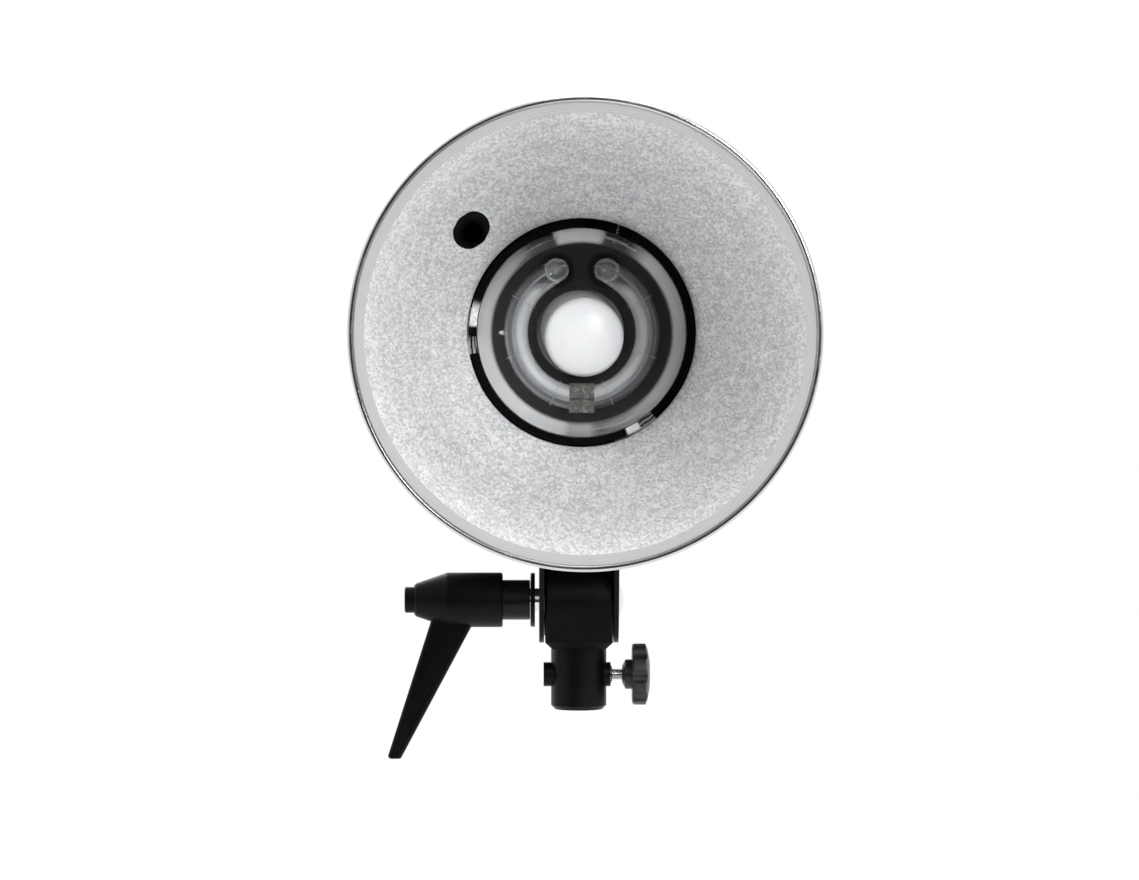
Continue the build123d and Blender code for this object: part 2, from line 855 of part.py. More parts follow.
def umbrella_screw():
    knob_middle = umbrella_knob_start - umbrella_knob_length / 2
    return umbrella_rod(umbrella_screw_radius, knob_middle, umbrella_screw_tip)


def umbrella_knob():
    end = umbrella_knob_start - umbrella_knob_length
    knob = umbrella_rod(umbrella_knob_radius, end, umbrella_knob_start)
    knob = chamfer(knob.faces().filter_by(Axis.X).edges(), umbrella_knob_edge)
    groove_circle = umbrella_knob_radius + umbrella_groove_shift
    grooves = Sketch() + PolarLocations(groove_circle, umbrella_knob_grooves) * Circle(umbrella_groove_radius)
    cut = cross_bar(grooves, end - overcut, umbrella_knob_start + overcut, 0)
    knob -= Pos(0, umbrella_clamp_station, axis_height + umbrella_rise) * cut
    screw_end = umbrella_knob_start - umbrella_knob_length / 2
    return knob - umbrella_rod(umbrella_screw_radius, screw_end, umbrella_knob_start + overcut)


# Lamp head

def front_plate():
    # A plate with holes for the lamp and the tube's legs, on a rim that stands on the casting
    # A low lip goes round the lamp's hole
    plate = Circle(plate_radius) - Circle(lamp_hole_radius)
    for side in (-1, 1):
        plate -= Pos(*tube_leg(side)) * Circle(tube_hole_radius)
    rim = Circle(plate_radius) - Circle(lamp_well_radius + screw_gap)
    plate_rear = plate_front + plate_thickness
    lip = Circle(lamp_hole_radius + plate_lip_width) - Circle(lamp_hole_radius)
    plate_body = slab(plate, plate_front, plate_rear) + slab(lip, plate_front - plate_lip_height, plate_front)
    return plate_body + slab(rim, plate_rear, casting_front)


def tube_pieces(section):
    # The bent quartz tube in pieces: the ring, and a bend and a leg at each end
    end = ring_end_angle()
    turn = math.radians(end)
    x, rise = clock_point(tube_ring_radius, 90 - end)
    start_plane = Plane(
        origin=(x, tube_station, axis_height + rise),
        x_dir=(0, 1, 0),
        z_dir=(-math.cos(turn), 0, math.sin(turn)),
    )
    pieces = [revolve(start_plane * section, axis=flash_axis, revolution_arc=360 - 2 * end)]
    for side in (-1, 1):
        x, rise = clock_point(tube_ring_radius, 90 - side * end)
        tangent = Vector(-side * math.cos(turn), 0, math.sin(turn))
        outward = Vector(side * math.sin(turn), 0, math.cos(turn))
        joint = Vector(x, tube_station, axis_height + rise)
        centre = joint + Vector(0, tube_bend_radius, 0)
        bend_plane = Plane(origin=joint, x_dir=(0, 1, 0), z_dir=tangent)
        pieces.append(revolve(bend_plane * section, axis=Axis(centre, outward * -side), revolution_arc=90))
        leg_plane = Plane(origin=centre + tangent * tube_bend_radius, x_dir=outward, z_dir=(0, 1, 0))
        pieces.append(extrude(leg_plane * section, tube_leg_rear - tube_station - tube_bend_radius))
    return pieces


def flash_tube():
    pieces = tube_pieces(Circle(tube_radius) - Circle(tube_radius - tube_wall))
    tube = pieces[0].fuse(*pieces[1:])
    tip_start = tube_ring_radius + tube_radius - exhaust_tip_sink
    tip = Cone(exhaust_tip_radius, exhaust_tip_point, exhaust_tip_length)
    tip_centre = (-tip_start - exhaust_tip_length / 2, tube_station, axis_height)
    return tube + Plane(origin=tip_centre, x_dir=(0, 1, 0), z_dir=(-1, 0, 0)) * tip


def tube_electrodes():
    # In each leg a sealed end, a stem and an electrode
    seal_front = tube_leg_rear - seal_length
    stem_front = seal_front - electrode_stem_length
    rods = []
    for side in (-1, 1):
        x, rise = tube_leg(side)
        electrode = rod(x, rise, tube_radius - tube_wall - seal_gap, seal_front, tube_leg_rear)
        electrode += rod(x, rise, electrode_stem_radius, stem_front, seal_front)
        rods.append(electrode + rod(x, rise, electrode_radius, stem_front - electrode_length, stem_front))
    return Part() + rods


def tube_sockets():
    front = tube_leg_rear - tube_socket_lap
    sockets = []
    for side in (-1, 1):
        x, rise = tube_leg(side)
        body = rod(x, rise, tube_socket_radius, front, tube_leg_rear + tube_socket_length)
        sockets.append(body - rod(x, rise, tube_radius + running_gap, front - overcut, tube_leg_rear))
    return Part() + sockets


def tube_clip():
    # Spring clip at the bottom of the ring, on a stalk that stands in the front plate
    # The ring curves up between the clip's two edges, so the clip's hollow is taller than the tube
    reach = tube_radius + free_gap
    sag = tube_ring_radius - math.sqrt(tube_ring_radius ** 2 - (clip_width / 2) ** 2)
    band_section = Rectangle(2 * (reach + clip_sheet), 2 * (reach + clip_sheet) + sag)
    band_section -= Rectangle(2 * reach, 2 * reach + sag)
    band_section -= Pos(0, -reach) * Rectangle(clip_mouth, clip_mouth)
    plane = Plane(
        origin=(-clip_width / 2, tube_station, axis_height - tube_ring_radius),
        x_dir=(0, 1, 0),
        z_dir=(1, 0, 0),
    )
    band = extrude(plane * (Pos(0, sag / 2) * band_section), clip_width)
    stalk = Pos(0, -tube_ring_radius) * Rectangle(clip_stalk_width, clip_stalk_depth)
    return band + slab(stalk, tube_station + reach + clip_sheet / 2, plate_front)


def trigger_wire():
    # Flat wire on the ring: single turns across it, and one run along its inner rear side
    lift = tube_radius + wire_radius + face_gap
    end = ring_end_angle() + wire_margin
    run_shift = (lift + 3 * wire_radius) * math.sqrt(0.5)
    x, rise = clock_point(tube_ring_radius - run_shift, 90 - end)
    run_plane = Plane(
        origin=(x, tube_station + run_shift, axis_height + rise),
        x_dir=(0, 1, 0),
        z_dir=(math.cos(math.radians(end)), 0, -math.sin(math.radians(end))),
    )
    section = Rectangle(2 * wire_radius, 2 * wire_radius)
    wires = [revolve(run_plane * section, axis=flash_axis, revolution_arc=360 - 2 * end)]
    loop = Circle(lift + wire_radius) - Circle(lift - wire_radius)
    step = (360 - 2 * end) / wire_turns
    for index in range(wire_turns):
        angle = 90 - end - step * (index + 0.5)
        x, rise = clock_point(tube_ring_radius, angle)
        along = (math.sin(math.radians(angle)), 0, -math.cos(math.radians(angle)))
        plane = Plane(origin=(x, tube_station, axis_height + rise), x_dir=(0, 1, 0), z_dir=along)
        wires.append(extrude(plane * loop, wire_radius, both=True))
    return Part() + wires


def hung(piece):
    # The lamp and its socket's bore hang down and to the right a little
    pivot = (0, lamp_hang_station, axis_height)
    return piece.rotate(Axis(pivot, (1, 0, 0)), lamp_droop).rotate(Axis(pivot, (0, 0, 1)), lamp_swing)


def crowned(radius, front, crown, corner, rear_points):
    # Turns a crowned front with a rounded corner, and the (radius, station) points behind it, about the axis
    ball_radius = (radius ** 2 + crown ** 2) / (2 * crown)
    half_station = front + ball_radius - math.sqrt(ball_radius ** 2 - (radius / 2) ** 2)
    tip = (0, front, axis_height)
    shoulder = (radius, front + crown, axis_height)
    outline = ThreePointArc(tip, (radius / 2, half_station, axis_height), shoulder)
    outline += Polyline(shoulder, *[(point, station, axis_height) for point, station in rear_points], tip)
    section = make_face(outline)
    corner_point = section.vertices().group_by(Axis.X)[-1].sort_by(Axis.Y)[0]
    return revolve(fillet(corner_point, corner), axis=flash_axis, revolution_arc=360)


def modelling_lamp():
    # Frosted tubular lamp: crowned front, straight side, and a shoulder down to the neck
    rear_points = [
        (lamp_radius, lamp_shoulder),
        (lamp_neck_radius, lamp_neck_station),
        (0, lamp_neck_station),
    ]
    return hung(crowned(lamp_radius, lamp_front, lamp_crown, lamp_corner, rear_points))


def lamp_base():
    cap_rear = lamp_neck_station + lamp_cap_length
    cap = rod(0, 0, lamp_cap_radius, lamp_neck_station, cap_rear)
    cap = chamfer(cap.faces().sort_by(Axis.Y)[-1].edges(), lamp_cap_edge)
    return hung(cap + rod(0, 0, lamp_contact_radius, cap_rear, cap_rear + lamp_contact_length))


def lamp_socket():
    front = lamp_neck_station + lamp_socket_lip
    socket = rod(0, 0, lamp_socket_radius, front, chassis_wall_station)
    socket = chamfer(socket.faces().sort_by(Axis.Y)[0].edges(), small_edge)
    bore = lamp_cap_radius + lamp_socket_play
    bore_rear = lamp_neck_station + lamp_cap_length + lamp_contact_length + tip_gap
    return socket - hung(rod(0, 0, bore, front - lamp_socket_lip, bore_rear))


def socket_carrier():
    plate = Circle(lamp_well_radius + carrier_lap - screw_gap) - Circle(lamp_hole_radius)
    for side in (-1, 1):
        plate -= Pos(*tube_leg(side)) * Circle(tube_socket_radius)
    return slab(plate, shell_front, shell_front + carrier_thickness)


def glass_dome():
    # A round cup of glass that opens to the rear
    outer_points = [(dome_radius, plate_front), (0, plate_front)]
    outer = crowned(dome_radius, dome_front, dome_crown, dome_corner, outer_points)
    inner_radius = dome_radius - dome_wall
    inner_rear = plate_front + overcut
    inner_points = [(inner_radius, inner_rear), (0, inner_rear)]
    inner = crowned(inner_radius, dome_front + dome_wall, dome_crown, dome_corner - dome_wall, inner_points)
    return outer - inner


# Reflector

def reflector_bowl():
    # Spun sheet: a neck, the bowl as an arc, a flat ring and a rolled bead
    half = reflector_sheet / 2
    flat_station = rim_station + bead_radius + rim_flat_offset
    start = Vector(throat_radius + half, throat_station, axis_height)
    end = Vector(rim_flat_inner, flat_station, axis_height)
    chord = end - start
    outward = Vector(-chord.Y, chord.X, 0).normalized()
    arc_radius = ((chord.length / 2) ** 2 + bowl_belly ** 2) / (2 * bowl_belly)
    centre = start + chord / 2 + outward * (bowl_belly - arc_radius)
    middle = centre + outward * arc_radius

    def skin(point, side):
        return point + (point - centre).normalized() * half * side

    neck_rear = throat_station + neck_length
    bead_middle = reflector_radius - bead_radius
    back = ThreePointArc(skin(start, 1), skin(middle, 1), skin(end, 1))
    face = ThreePointArc(skin(end, -1), skin(middle, -1), skin(start, -1))
    rim = Polyline(
        skin(end, 1),
        (bead_middle, flat_station + half, axis_height),
        (bead_middle, flat_station - half, axis_height),
        skin(end, -1),
    )
    neck = Polyline(
        skin(start, -1),
        (throat_radius, neck_rear, axis_height),
        (throat_radius + reflector_sheet, neck_rear, axis_height),
        skin(start, 1),
    )
    bowl = revolve(make_face(back + rim + face + neck), axis=flash_axis, revolution_arc=360)
    bead_centre = (bead_middle, rim_station + bead_radius, axis_height)
    bowl += revolve(Plane(bead_centre) * Circle(bead_radius), axis=flash_axis, revolution_arc=360)
    shift_x, shift_rise = clock_point(umbrella_hole_shift / 2, umbrella_angle + 90)
    hole = Pos(umbrella_x - shift_x, umbrella_rise - shift_rise) * Circle(umbrella_hole_radius)
    hole += Pos(umbrella_x + shift_x, umbrella_rise + shift_rise) * Circle(umbrella_hole_radius)
    return bowl - slab(hole, rim_station + 2 * rim_flat_width, throat_station)


def rivet_rods(radius, inner, outer):
    # Radial rods through the collar at the middle of each lug
    place = Pos(0, lug_front + lug_thickness / 2, axis_height)
    bar = place * cross_bar(Circle(radius), inner, outer, 0)
    return [bar.rotate(flash_axis, -angle) for angle in lug_angles()]


def reflector_collar():
    neck_rear = throat_station + neck_length + running_gap
    collar = turned(
        [
            (collar_bore, collar_front),
            (collar_outer - collar_edge, collar_front),
            (collar_outer, collar_front + collar_edge),
            (collar_outer, collar_rear - collar_edge),
            (collar_outer - collar_edge, collar_rear),
            (throat_radius, collar_rear),
            (throat_radius, neck_rear),
            (collar_bore, neck_rear),
        ]
    )
    return collar.cut(*rivet_rods(rivet_radius, throat_radius - overcut, collar_outer + overcut))


def collar_rivets():
    shanks = rivet_rods(rivet_radius, throat_radius, collar_outer)
    heads = rivet_rods(rivet_head, collar_outer, collar_outer + rivet_head_height)
    return Part() + [shank + head for shank, head in zip(shanks, heads)]


def reflector_lugs():
    lug_rear = lug_front + lug_thickness
    lugs = []
    for angle in lug_angles():
        start = angle - lug_arc / 2
        lugs.append(sector(lug_inner_radius, throat_radius, start, lug_arc, lug_front, lug_rear))
    return Part() + lugs


# Insides of the housing

def chassis_plate():
    # A tray on four feet, with a wall for the lamp socket and two tabs for the fan
    floor = axis_height - chassis_drop
    plate_depth = chassis_rear - chassis_front
    plate = Pos(0, chassis_front + plate_depth / 2) * Rectangle(chassis_width, plate_depth)
    chassis = upright(plate, floor - chassis_sheet, floor)
    wall_height = chassis_drop + chassis_wall_rise
    wall = Pos(0, wall_height / 2 - chassis_drop) * Rectangle(chassis_width, wall_height)
    chassis += slab(wall, chassis_wall_station, chassis_wall_station + chassis_sheet)
    tab_top = fan_rise - fan_size / 2 + fan_tab_lap
    for x in (-fan_tab_x, fan_tab_x):
        tab = Pos(x, (tab_top - chassis_drop) / 2) * Rectangle(fan_tab_width, tab_top + chassis_drop)
        chassis += slab(tab, fan_station - chassis_sheet, fan_station)
    foot_x = chassis_width / 2 - chassis_foot_inset
    for x in (-foot_x, foot_x):
        for y in (chassis_front + chassis_foot_margin, chassis_rear - chassis_foot_margin):
            foot = Pos(x, y) * Circle(chassis_foot_radius)
            chassis += upright(foot, housing_floor + housing_wall, floor - chassis_sheet)
    return chassis


def power_board():
    board = Pos(0, board_height / 2 - chassis_drop) * Rectangle(board_width, board_height)
    return slab(board, board_station, board_station + board_thickness)


def capacitors():
    # Four storage capacitors that stand on the power board
    low = capacitor_radius + capacitor_skirt - chassis_drop
    high = low + 2 * capacitor_radius + capacitor_gap
    start = board_station + board_thickness
    places = [(x, rise) for x in (-capacitor_spacing, capacitor_spacing) for rise in (low, high)]
    return Part() + [rod(x, rise, capacitor_radius, start, start + capacitor_length) for x, rise in places]


def trigger_transformer():
    x = chassis_width / 2 - transformer_radius - transformer_inset
    rise = transformer_radius + transformer_lift - chassis_drop
    coil_rear = board_station - transformer_stem
    coil = rod(x, rise, transformer_radius, coil_rear - transformer_length, coil_rear)
    return coil + rod(x, rise, transformer_stem_radius, coil_rear, board_station)


def fan_rod(radius, front, rear):
    return rod(0, fan_rise, radius, front, rear)


def fan_frame():
    rear = fan_station + fan_depth
    stator_front = rear - fan_stator_depth
    frame = slab(Pos(0, fan_rise) * RectangleRounded(fan_size, fan_size, fan_corner), fan_station, rear)
    frame -= fan_rod(fan_opening, fan_station, rear)
    strut_length = fan_opening + fan_wall / 2
    strut = Pos(strut_length / 2, 0) * Rectangle(strut_length, fan_strut_width)
    stator = Circle(fan_hub_radius)
    for index in range(fan_struts):
        stator += Rot(0, 0, 90 + index * 360 / fan_struts) * strut
    frame += slab(Pos(0, fan_rise) * stator, stator_front, rear)
    return frame + fan_rod(fan_shaft_radius, fan_station + fan_shaft_inset, stator_front)


def fan_rotor():
    tip_radius = fan_opening - fan_ring_gap
    front = fan_station + fan_rotor_front_gap
    rear = fan_station + fan_depth - fan_rotor_rear_gap
    rotor = fan_rod(fan_hub_radius, front, rear)
    rotor = chamfer(rotor.faces().sort_by(Axis.Y)[0].edges(), fan_hub_edge)
    centre = Pos(0, (front + rear) / 2, axis_height + fan_rise)
    sweep = fan_rod(tip_radius, front + fan_blade_inset, rear - fan_blade_inset)
    blade_length = tip_radius - fan_hub_radius + 2 * fan_blade_root
    blade = Pos((fan_hub_radius + tip_radius) / 2, 0, 0) * Rot(fan_pitch, 0, 0)
    blade = blade * Box(blade_length, fan_blade_chord, fan_blade_thickness)
    for index in range(fan_blades):
        rotor += (centre * Rot(0, index * 360 / fan_blades, 0) * blade) & sweep
    return rotor - fan_rod(fan_shaft_radius + running_gap, fan_station, rear + overcut)


def control_board():
    board = Pos(0, control_board_rise) * Rectangle(control_board_width, control_board_height)
    return slab(board, control_board_station, control_board_station + board_thickness)


# Rear panel and its controls

def panel_holes():
    # Every hole through the rear panel, each from the piece that goes through it
    round_holes = [(x, dial_rise, dial_shaft_radius + running_gap) for x in (-dial_x, dial_x)]
    round_holes += [(x, rise, push_radius + screw_gap) for x, rise in push_places()]
    round_holes += [(x, rise, indicator_radius) for x, rise in indicator_places()]
    round_holes += [(x, rise, case_screw_radius + screw_gap) for x, rise in case_screw_places()]
    round_holes.append((0, -fuse_drop, fuse_stem_radius + running_gap))
    round_holes.append((jack_x, jack_rise, jack_bush_radius))
    round_holes.append((0, sensor_rise, sensor_stem_radius))
    round_holes.append((umbrella_x, umbrella_rise, umbrella_tube_radius))
    sketches = [Pos(x, rise) * Circle(radius) for x, rise, radius in round_holes]
    rocker_hole = Rectangle(rocker_width + 2 * free_gap, rocker_height + 2 * free_gap)
    sketches.append(Pos(rocker_x, -rocker_drop) * rocker_hole)
    sketches.append(Pos(inlet_x, -inlet_drop) * RectangleRounded(inlet_width, inlet_height, inlet_corner))
    return [slab(sketch, housing_rear - overcut, panel_face + rocker_bezel + overcut) for sketch in sketches]


def rear_panel():
    outer = housing_section(housing_width, housing_corner)
    inner = housing_section(housing_width - 2 * hood_wall, housing_corner - hood_wall)
    panel = slab(outer, housing_rear, panel_face)
    panel += slab(outer - inner, panel_face, hood_rear)
    panel = chamfer(panel.faces().sort_by(Axis.Y)[-1].outer_wire().edges(), hood_edge)
    post_x = control_board_width / 2 - post_inset
    post_reach = control_board_height / 2 - post_inset
    for x in (-post_x, post_x):
        for rise in (control_board_rise - post_reach, control_board_rise + post_reach):
            panel += rod(x, rise, post_radius, control_board_station + board_thickness, housing_rear)
    bezel = Rectangle(rocker_width + 2 * rocker_bezel_lip, rocker_height + 2 * rocker_bezel_lip)
    panel += slab(Pos(rocker_x, -rocker_drop) * bezel, panel_face, panel_face + rocker_bezel)
    return panel.cut(*panel_holes())


def dial(x):
    # Control dial with a fluted side and a pointer groove
    front = panel_face + dial_gap
    face = front + dial_height
    knob = rod(x, dial_rise, dial_radius, front, face)
    knob = chamfer(knob.faces().sort_by(Axis.Y)[-1].edges(), dial_edge)
    flutes = PolarLocations(dial_radius + dial_flute_shift, dial_flutes) * Circle(dial_flute_radius)
    knob -= slab(Pos(x, dial_rise) * (Sketch() + flutes), front + dial_flute_floor, face + overcut)
    pointer = Pos(x, dial_rise + pointer_shift) * Rectangle(pointer_width, pointer_length)
    knob -= slab(pointer, face - pointer_depth, face + overcut)
    return knob + rod(x, dial_rise, dial_shaft_radius, front - dial_shaft_length, front)


def push_button(index):
    x, rise = push_places()[index]
    button = rod(x, rise, push_radius, push_stem_front, panel_face + push_proud)
    button = chamfer(button.faces().sort_by(Axis.Y)[-1].edges(), small_edge)
    flange_rear = housing_rear - free_gap
    return button + rod(x, rise, push_radius + push_flange_lip, flange_rear - push_flange_depth, flange_rear)


def power_switch():
    # Rocker on a crosswise pivot: a round belly with a shallow V across its face
    pivot_z = axis_height - rocker_drop
    belly = rocker_height / 2
    outline = Polyline(
        (-rocker_back, -belly),
        (rocker_proud + rocker_dish, -belly),
        (rocker_proud, 0),
        (rocker_proud + rocker_dish, belly),
        (-rocker_back, belly),
        close=True,
    )
    plane = Plane(
        origin=(rocker_x - rocker_width / 2, rocker_pivot_station, pivot_z),
        x_dir=(0, 1, 0),
        z_dir=(1, 0, 0),
    )
    rocker = extrude(plane * (Circle(belly) & make_face(outline)), rocker_width)
    return rocker.rotate(Axis((0, rocker_pivot_station, pivot_z), (1, 0, 0)), rocker_tilt)


def mains_inlet():
    flange_rear = panel_face + inlet_flange
    flange_width = inlet_width + 2 * inlet_flange_lip
    flange_height = inlet_height + 2 * inlet_flange_lip
    body = slab(RectangleRounded(inlet_width, inlet_height, inlet_corner), inlet_front, panel_face)
    body += slab(RectangleRounded(flange_width, flange_height, inlet_corner), panel_face, flange_rear)
    cavity = Rectangle(inlet_width - 2 * inlet_wall, inlet_height - 2 * inlet_wall)
    body -= slab(cavity, inlet_front + inlet_wall, flange_rear + overcut)
    for x, rise in inlet_pin_places():
        pin_hole = Pos(x, rise) * Rectangle(inlet_pin_width, inlet_pin_height)
        body -= slab(pin_hole, inlet_front - overcut, inlet_front + inlet_wall + overcut)
    return Pos(inlet_x, 0, -inlet_drop) * body


def inlet_pins():
    pins = []
    for x, rise in inlet_pin_places():
        section = Pos(inlet_x + x, rise - inlet_drop) * Rectangle(inlet_pin_width, inlet_pin_height)
        pin = slab(section, inlet_front - inlet_pin_tail, inlet_front + inlet_wall + inlet_pin_length)
        pins.append(chamfer(pin.faces().sort_by(Axis.Y)[-1].edges(), inlet_pin_edge))
    return Part() + pins


def fuse_cap():
    front = panel_face + free_gap
    face = panel_face + fuse_length
    cap = rod(0, -fuse_drop, fuse_radius, front, face)
    cap = chamfer(cap.faces().sort_by(Axis.Y)[-1].edges(), small_edge)
    slot = Pos(0, -fuse_drop) * Rectangle(fuse_slot_width, fuse_slot_length)
    cap -= slab(slot, face - fuse_slot_depth, face + overcut)
    return cap + rod(0, -fuse_drop, fuse_stem_radius, front - fuse_stem_length, front)


def sync_jack():
    rear = panel_face + jack_nut
    jack = rod(jack_x, jack_rise, jack_radius, panel_face, rear)
    jack += rod(jack_x, jack_rise, jack_bush_radius, rear - jack_length, panel_face)
    return jack - rod(jack_x, jack_rise, jack_bore_radius, rear - jack_depth, rear)


def slave_sensor():
    dome = Pos(0, panel_face, axis_height + sensor_rise) * Sphere(sensor_radius)
    lens = dome & rod(0, sensor_rise, sensor_radius, panel_face, panel_face + sensor_radius)
    return lens + rod(0, sensor_rise, sensor_stem_radius, panel_face - sensor_stem_length, panel_face)


def indicator_lamps():
    rear = panel_face + indicator_proud
    front = rear - indicator_length
    return Part() + [rod(x, rise, indicator_radius, front, rear) for x, rise in indicator_places()]


pieces = {
    "stand_socket": stand_socket(),
    "socket_insert": socket_insert(),
    "friction_washers": friction_washers(),
    "clamp_pad": clamp_pad(),
    "clamp_screw": clamp_screw(),
    "clamp_knob": clamp_knob(),
    "tilt_bracket": tilt_bracket(),
    "bracket_screws": bracket_screws(),
    "pivot_bolt": pivot_bolt(),
    "flange_washer": flange_washer(),
    "clamp_lever": clamp_lever(),
    "lever_insert": lever_insert(),
    "lever_button": lever_button(),
    "lever_spring": lever_spring(),
    "housing_upper": housing_upper(),
    "housing_lower": housing_lower(),
    "front_casting": front_casting(),
    "rear_panel": rear_panel(),
    "housing_screws": housing_screws(),
    "mount_ring": mount_ring(),
    "umbrella_tube": umbrella_tube(),
    "umbrella_pad": umbrella_pad(),
    "umbrella_screw": umbrella_screw(),
    "umbrella_knob": umbrella_knob(),
    "front_plate": front_plate(),
    "flash_tube": flash_tube(),
    "tube_electrodes": tube_electrodes(),
    "tube_sockets": tube_sockets(),
    "tube_clip": tube_clip(),
    "trigger_wire": trigger_wire(),
    "modelling_lamp": modelling_lamp(),
    "lamp_base": lamp_base(),
    "lamp_socket": lamp_socket(),
    "socket_carrier": socket_carrier(),
    "glass_dome": glass_dome(),
    "reflector_bowl": reflector_bowl(),
    "reflector_collar": reflector_collar(),
    "collar_rivets": collar_rivets(),
    "reflector_lugs": reflector_lugs(),
    "chassis_plate": chassis_plate(),
    "power_board": power_board(),
    "capacitors": capacitors(),
    "trigger_transformer": trigger_transformer(),
    "fan_frame": fan_frame(),
    "fan_rotor": fan_rotor(),
    "control_board": control_board(),
    "power_dial": dial(-dial_x),
    "lamp_dial": dial(dial_x),
    "test_button": push_button(0),
    "sound_button": push_button(1),
    "sensor_button": push_button(2),
    "lamp_button": push_button(3),
    "power_switch": power_switch(),
    "mains_inlet": mains_inlet(),
    "inlet_pins": inlet_pins(),
    "fuse_cap": fuse_cap(),
    "sync_jack": sync_jack(),
    "slave_sensor": slave_sensor(),
    "indicator_lamps": indicator_lamps(),
}

os.makedirs("parts", exist_ok=True)
for name, piece in pieces.items():
    export_step(piece, f"parts/{name}.step")
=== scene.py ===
import math

import bpy
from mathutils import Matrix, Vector


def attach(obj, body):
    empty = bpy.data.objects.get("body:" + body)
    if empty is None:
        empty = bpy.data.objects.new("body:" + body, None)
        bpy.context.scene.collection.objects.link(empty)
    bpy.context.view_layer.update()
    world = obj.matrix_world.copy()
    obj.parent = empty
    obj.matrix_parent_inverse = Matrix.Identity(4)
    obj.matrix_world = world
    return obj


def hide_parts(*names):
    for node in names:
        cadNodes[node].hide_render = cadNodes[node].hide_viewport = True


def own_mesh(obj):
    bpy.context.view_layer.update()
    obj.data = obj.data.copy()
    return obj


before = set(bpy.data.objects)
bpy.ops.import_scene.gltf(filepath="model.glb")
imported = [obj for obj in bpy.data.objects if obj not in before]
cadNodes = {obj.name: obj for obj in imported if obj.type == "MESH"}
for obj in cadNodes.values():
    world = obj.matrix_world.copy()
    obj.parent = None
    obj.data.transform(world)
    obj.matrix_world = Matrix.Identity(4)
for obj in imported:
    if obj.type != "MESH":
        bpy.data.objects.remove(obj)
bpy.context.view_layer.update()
flashAxis = 0.159   # height of the flash axis above the socket's mouth, m
print("frame loaded:", len(cadNodes), "nodes")


# Camera: the photo's viewpoint, just left of the flash axis and a little above it
cameraLook = {
    "axisHeight": flashAxis,
    "rimStation": -0.200,       # front of the reflector, m
    "distance": 1.737,          # camera to the reflector's rim, m
    "left": 0.025,              # camera left of the flash axis, m
    "above": 0.009,             # camera above the flash axis, m
    "focalPixels": 4602.0,      # focal length in pixels of the 1139 wide photo
    "photoWidth": 1139,
    "photoHeight": 880,
    "aimX": 519.3,              # pixel that looks straight along the flash axis
    "aimY": 310.2,
}


def placeCamera(look):
    camera = bpy.data.cameras.new("photoCamera")
    camera.sensor_fit = "HORIZONTAL"
    camera.sensor_width = 36.0
    camera.lens = camera.sensor_width * look["focalPixels"] / look["photoWidth"]
    camera.clip_start = 0.05
    holder = bpy.data.objects.new("photoCamera", camera)
    bpy.context.scene.collection.objects.link(holder)
    height = look["axisHeight"] + look["above"]
    holder.location = (-look["left"], look["rimStation"] - look["distance"], height)
    pan = math.atan((look["photoWidth"] / 2 - look["aimX"]) / look["focalPixels"])
    dip = math.atan((look["photoHeight"] / 2 - look["aimY"]) / look["focalPixels"])
    holder.rotation_euler = (math.pi / 2 - dip, 0, -pan)
    bpy.context.scene.camera = holder
    print("camera placed, lens", round(camera.lens, 1))


placeCamera(cameraLook)


# Small tools for node trees. Sizes are in metres, and a noise's size is the width of one grain.
def plug(source, target):
    target.id_data.links.new(source, target)


def setInputs(node, values):
    for name, value in values.items():
        node.inputs[name].default_value = value


def startMaterial(name, color, roughness, metallic=0.0):
    material = bpy.data.materials.new(name)
    material.use_nodes = True
    nodes = material.node_tree.nodes
    shader = nodes["Principled BSDF"]
    setInputs(shader, {"Base Color": (*color, 1.0), "Metallic": metallic, "Roughness": roughness})
    return material, nodes, shader


def readPlace(nodes):
    # Where a point lies in its piece, which is also its place in the frame
    return nodes.new("ShaderNodeTexCoord").outputs["Object"]


def splitPlace(nodes):
    parts = nodes.new("ShaderNodeSeparateXYZ")
    plug(readPlace(nodes), parts.inputs["Vector"])
    return parts.outputs


def mathNode(nodes, operation, *values):
    # One math node: each value is a socket or a number
    node = nodes.new("ShaderNodeMath")
    node.operation = operation
    for value, target in zip(values, node.inputs):
        if isinstance(value, (int, float)):
            target.default_value = value
        else:
            plug(value, target)
    return node.outputs[0]


def vectorNode(nodes, operation, source, amounts=(0, 0, 0)):
    node = nodes.new("ShaderNodeVectorMath")
    node.operation = operation
    plug(source, node.inputs[0])
    node.inputs[1].default_value = amounts
    return node.outputs


def addNoise(nodes, size, detail=3.0, place=None):
    noise = nodes.new("ShaderNodeTexNoise")
    setInputs(noise, {"Scale": 1.0 / size, "Detail": detail, "Roughness": 0.55})
    plug(place or readPlace(nodes), noise.inputs["Vector"])
    return noise.outputs["Fac"]


def mapRange(nodes, source, low, high, fromLow=0.3, fromHigh=0.7):
    # Most of a noise lies between 0.3 and 0.7
    spread = nodes.new("ShaderNodeMapRange")
    setInputs(spread, {"From Min": fromLow, "From Max": fromHigh, "To Min": low, "To Max": high})
    plug(source, spread.inputs["Value"])
    return spread.outputs["Result"]


def ringMask(nodes, distance, inner, outer, edge):
    # One between the two distances, and zero outside them
    rise = mapRange(nodes, distance, 0.0, 1.0, inner - edge, inner + edge)
    fall = mapRange(nodes, distance, 1.0, 0.0, outer - edge, outer + edge)
    return mathNode(nodes, "MULTIPLY", rise, fall)


def blendColors(nodes, share, first, second, target):
    # The target takes the first colour at share 0, and the second at share 1
    mix = nodes.new("ShaderNodeMix")
    mix.data_type = "RGBA"
    setInputs(mix, {"A": (*first, 1.0), "B": (*second, 1.0)})
    plug(share, mix.inputs["Factor"])
    plug(mix.outputs["Result"], target)


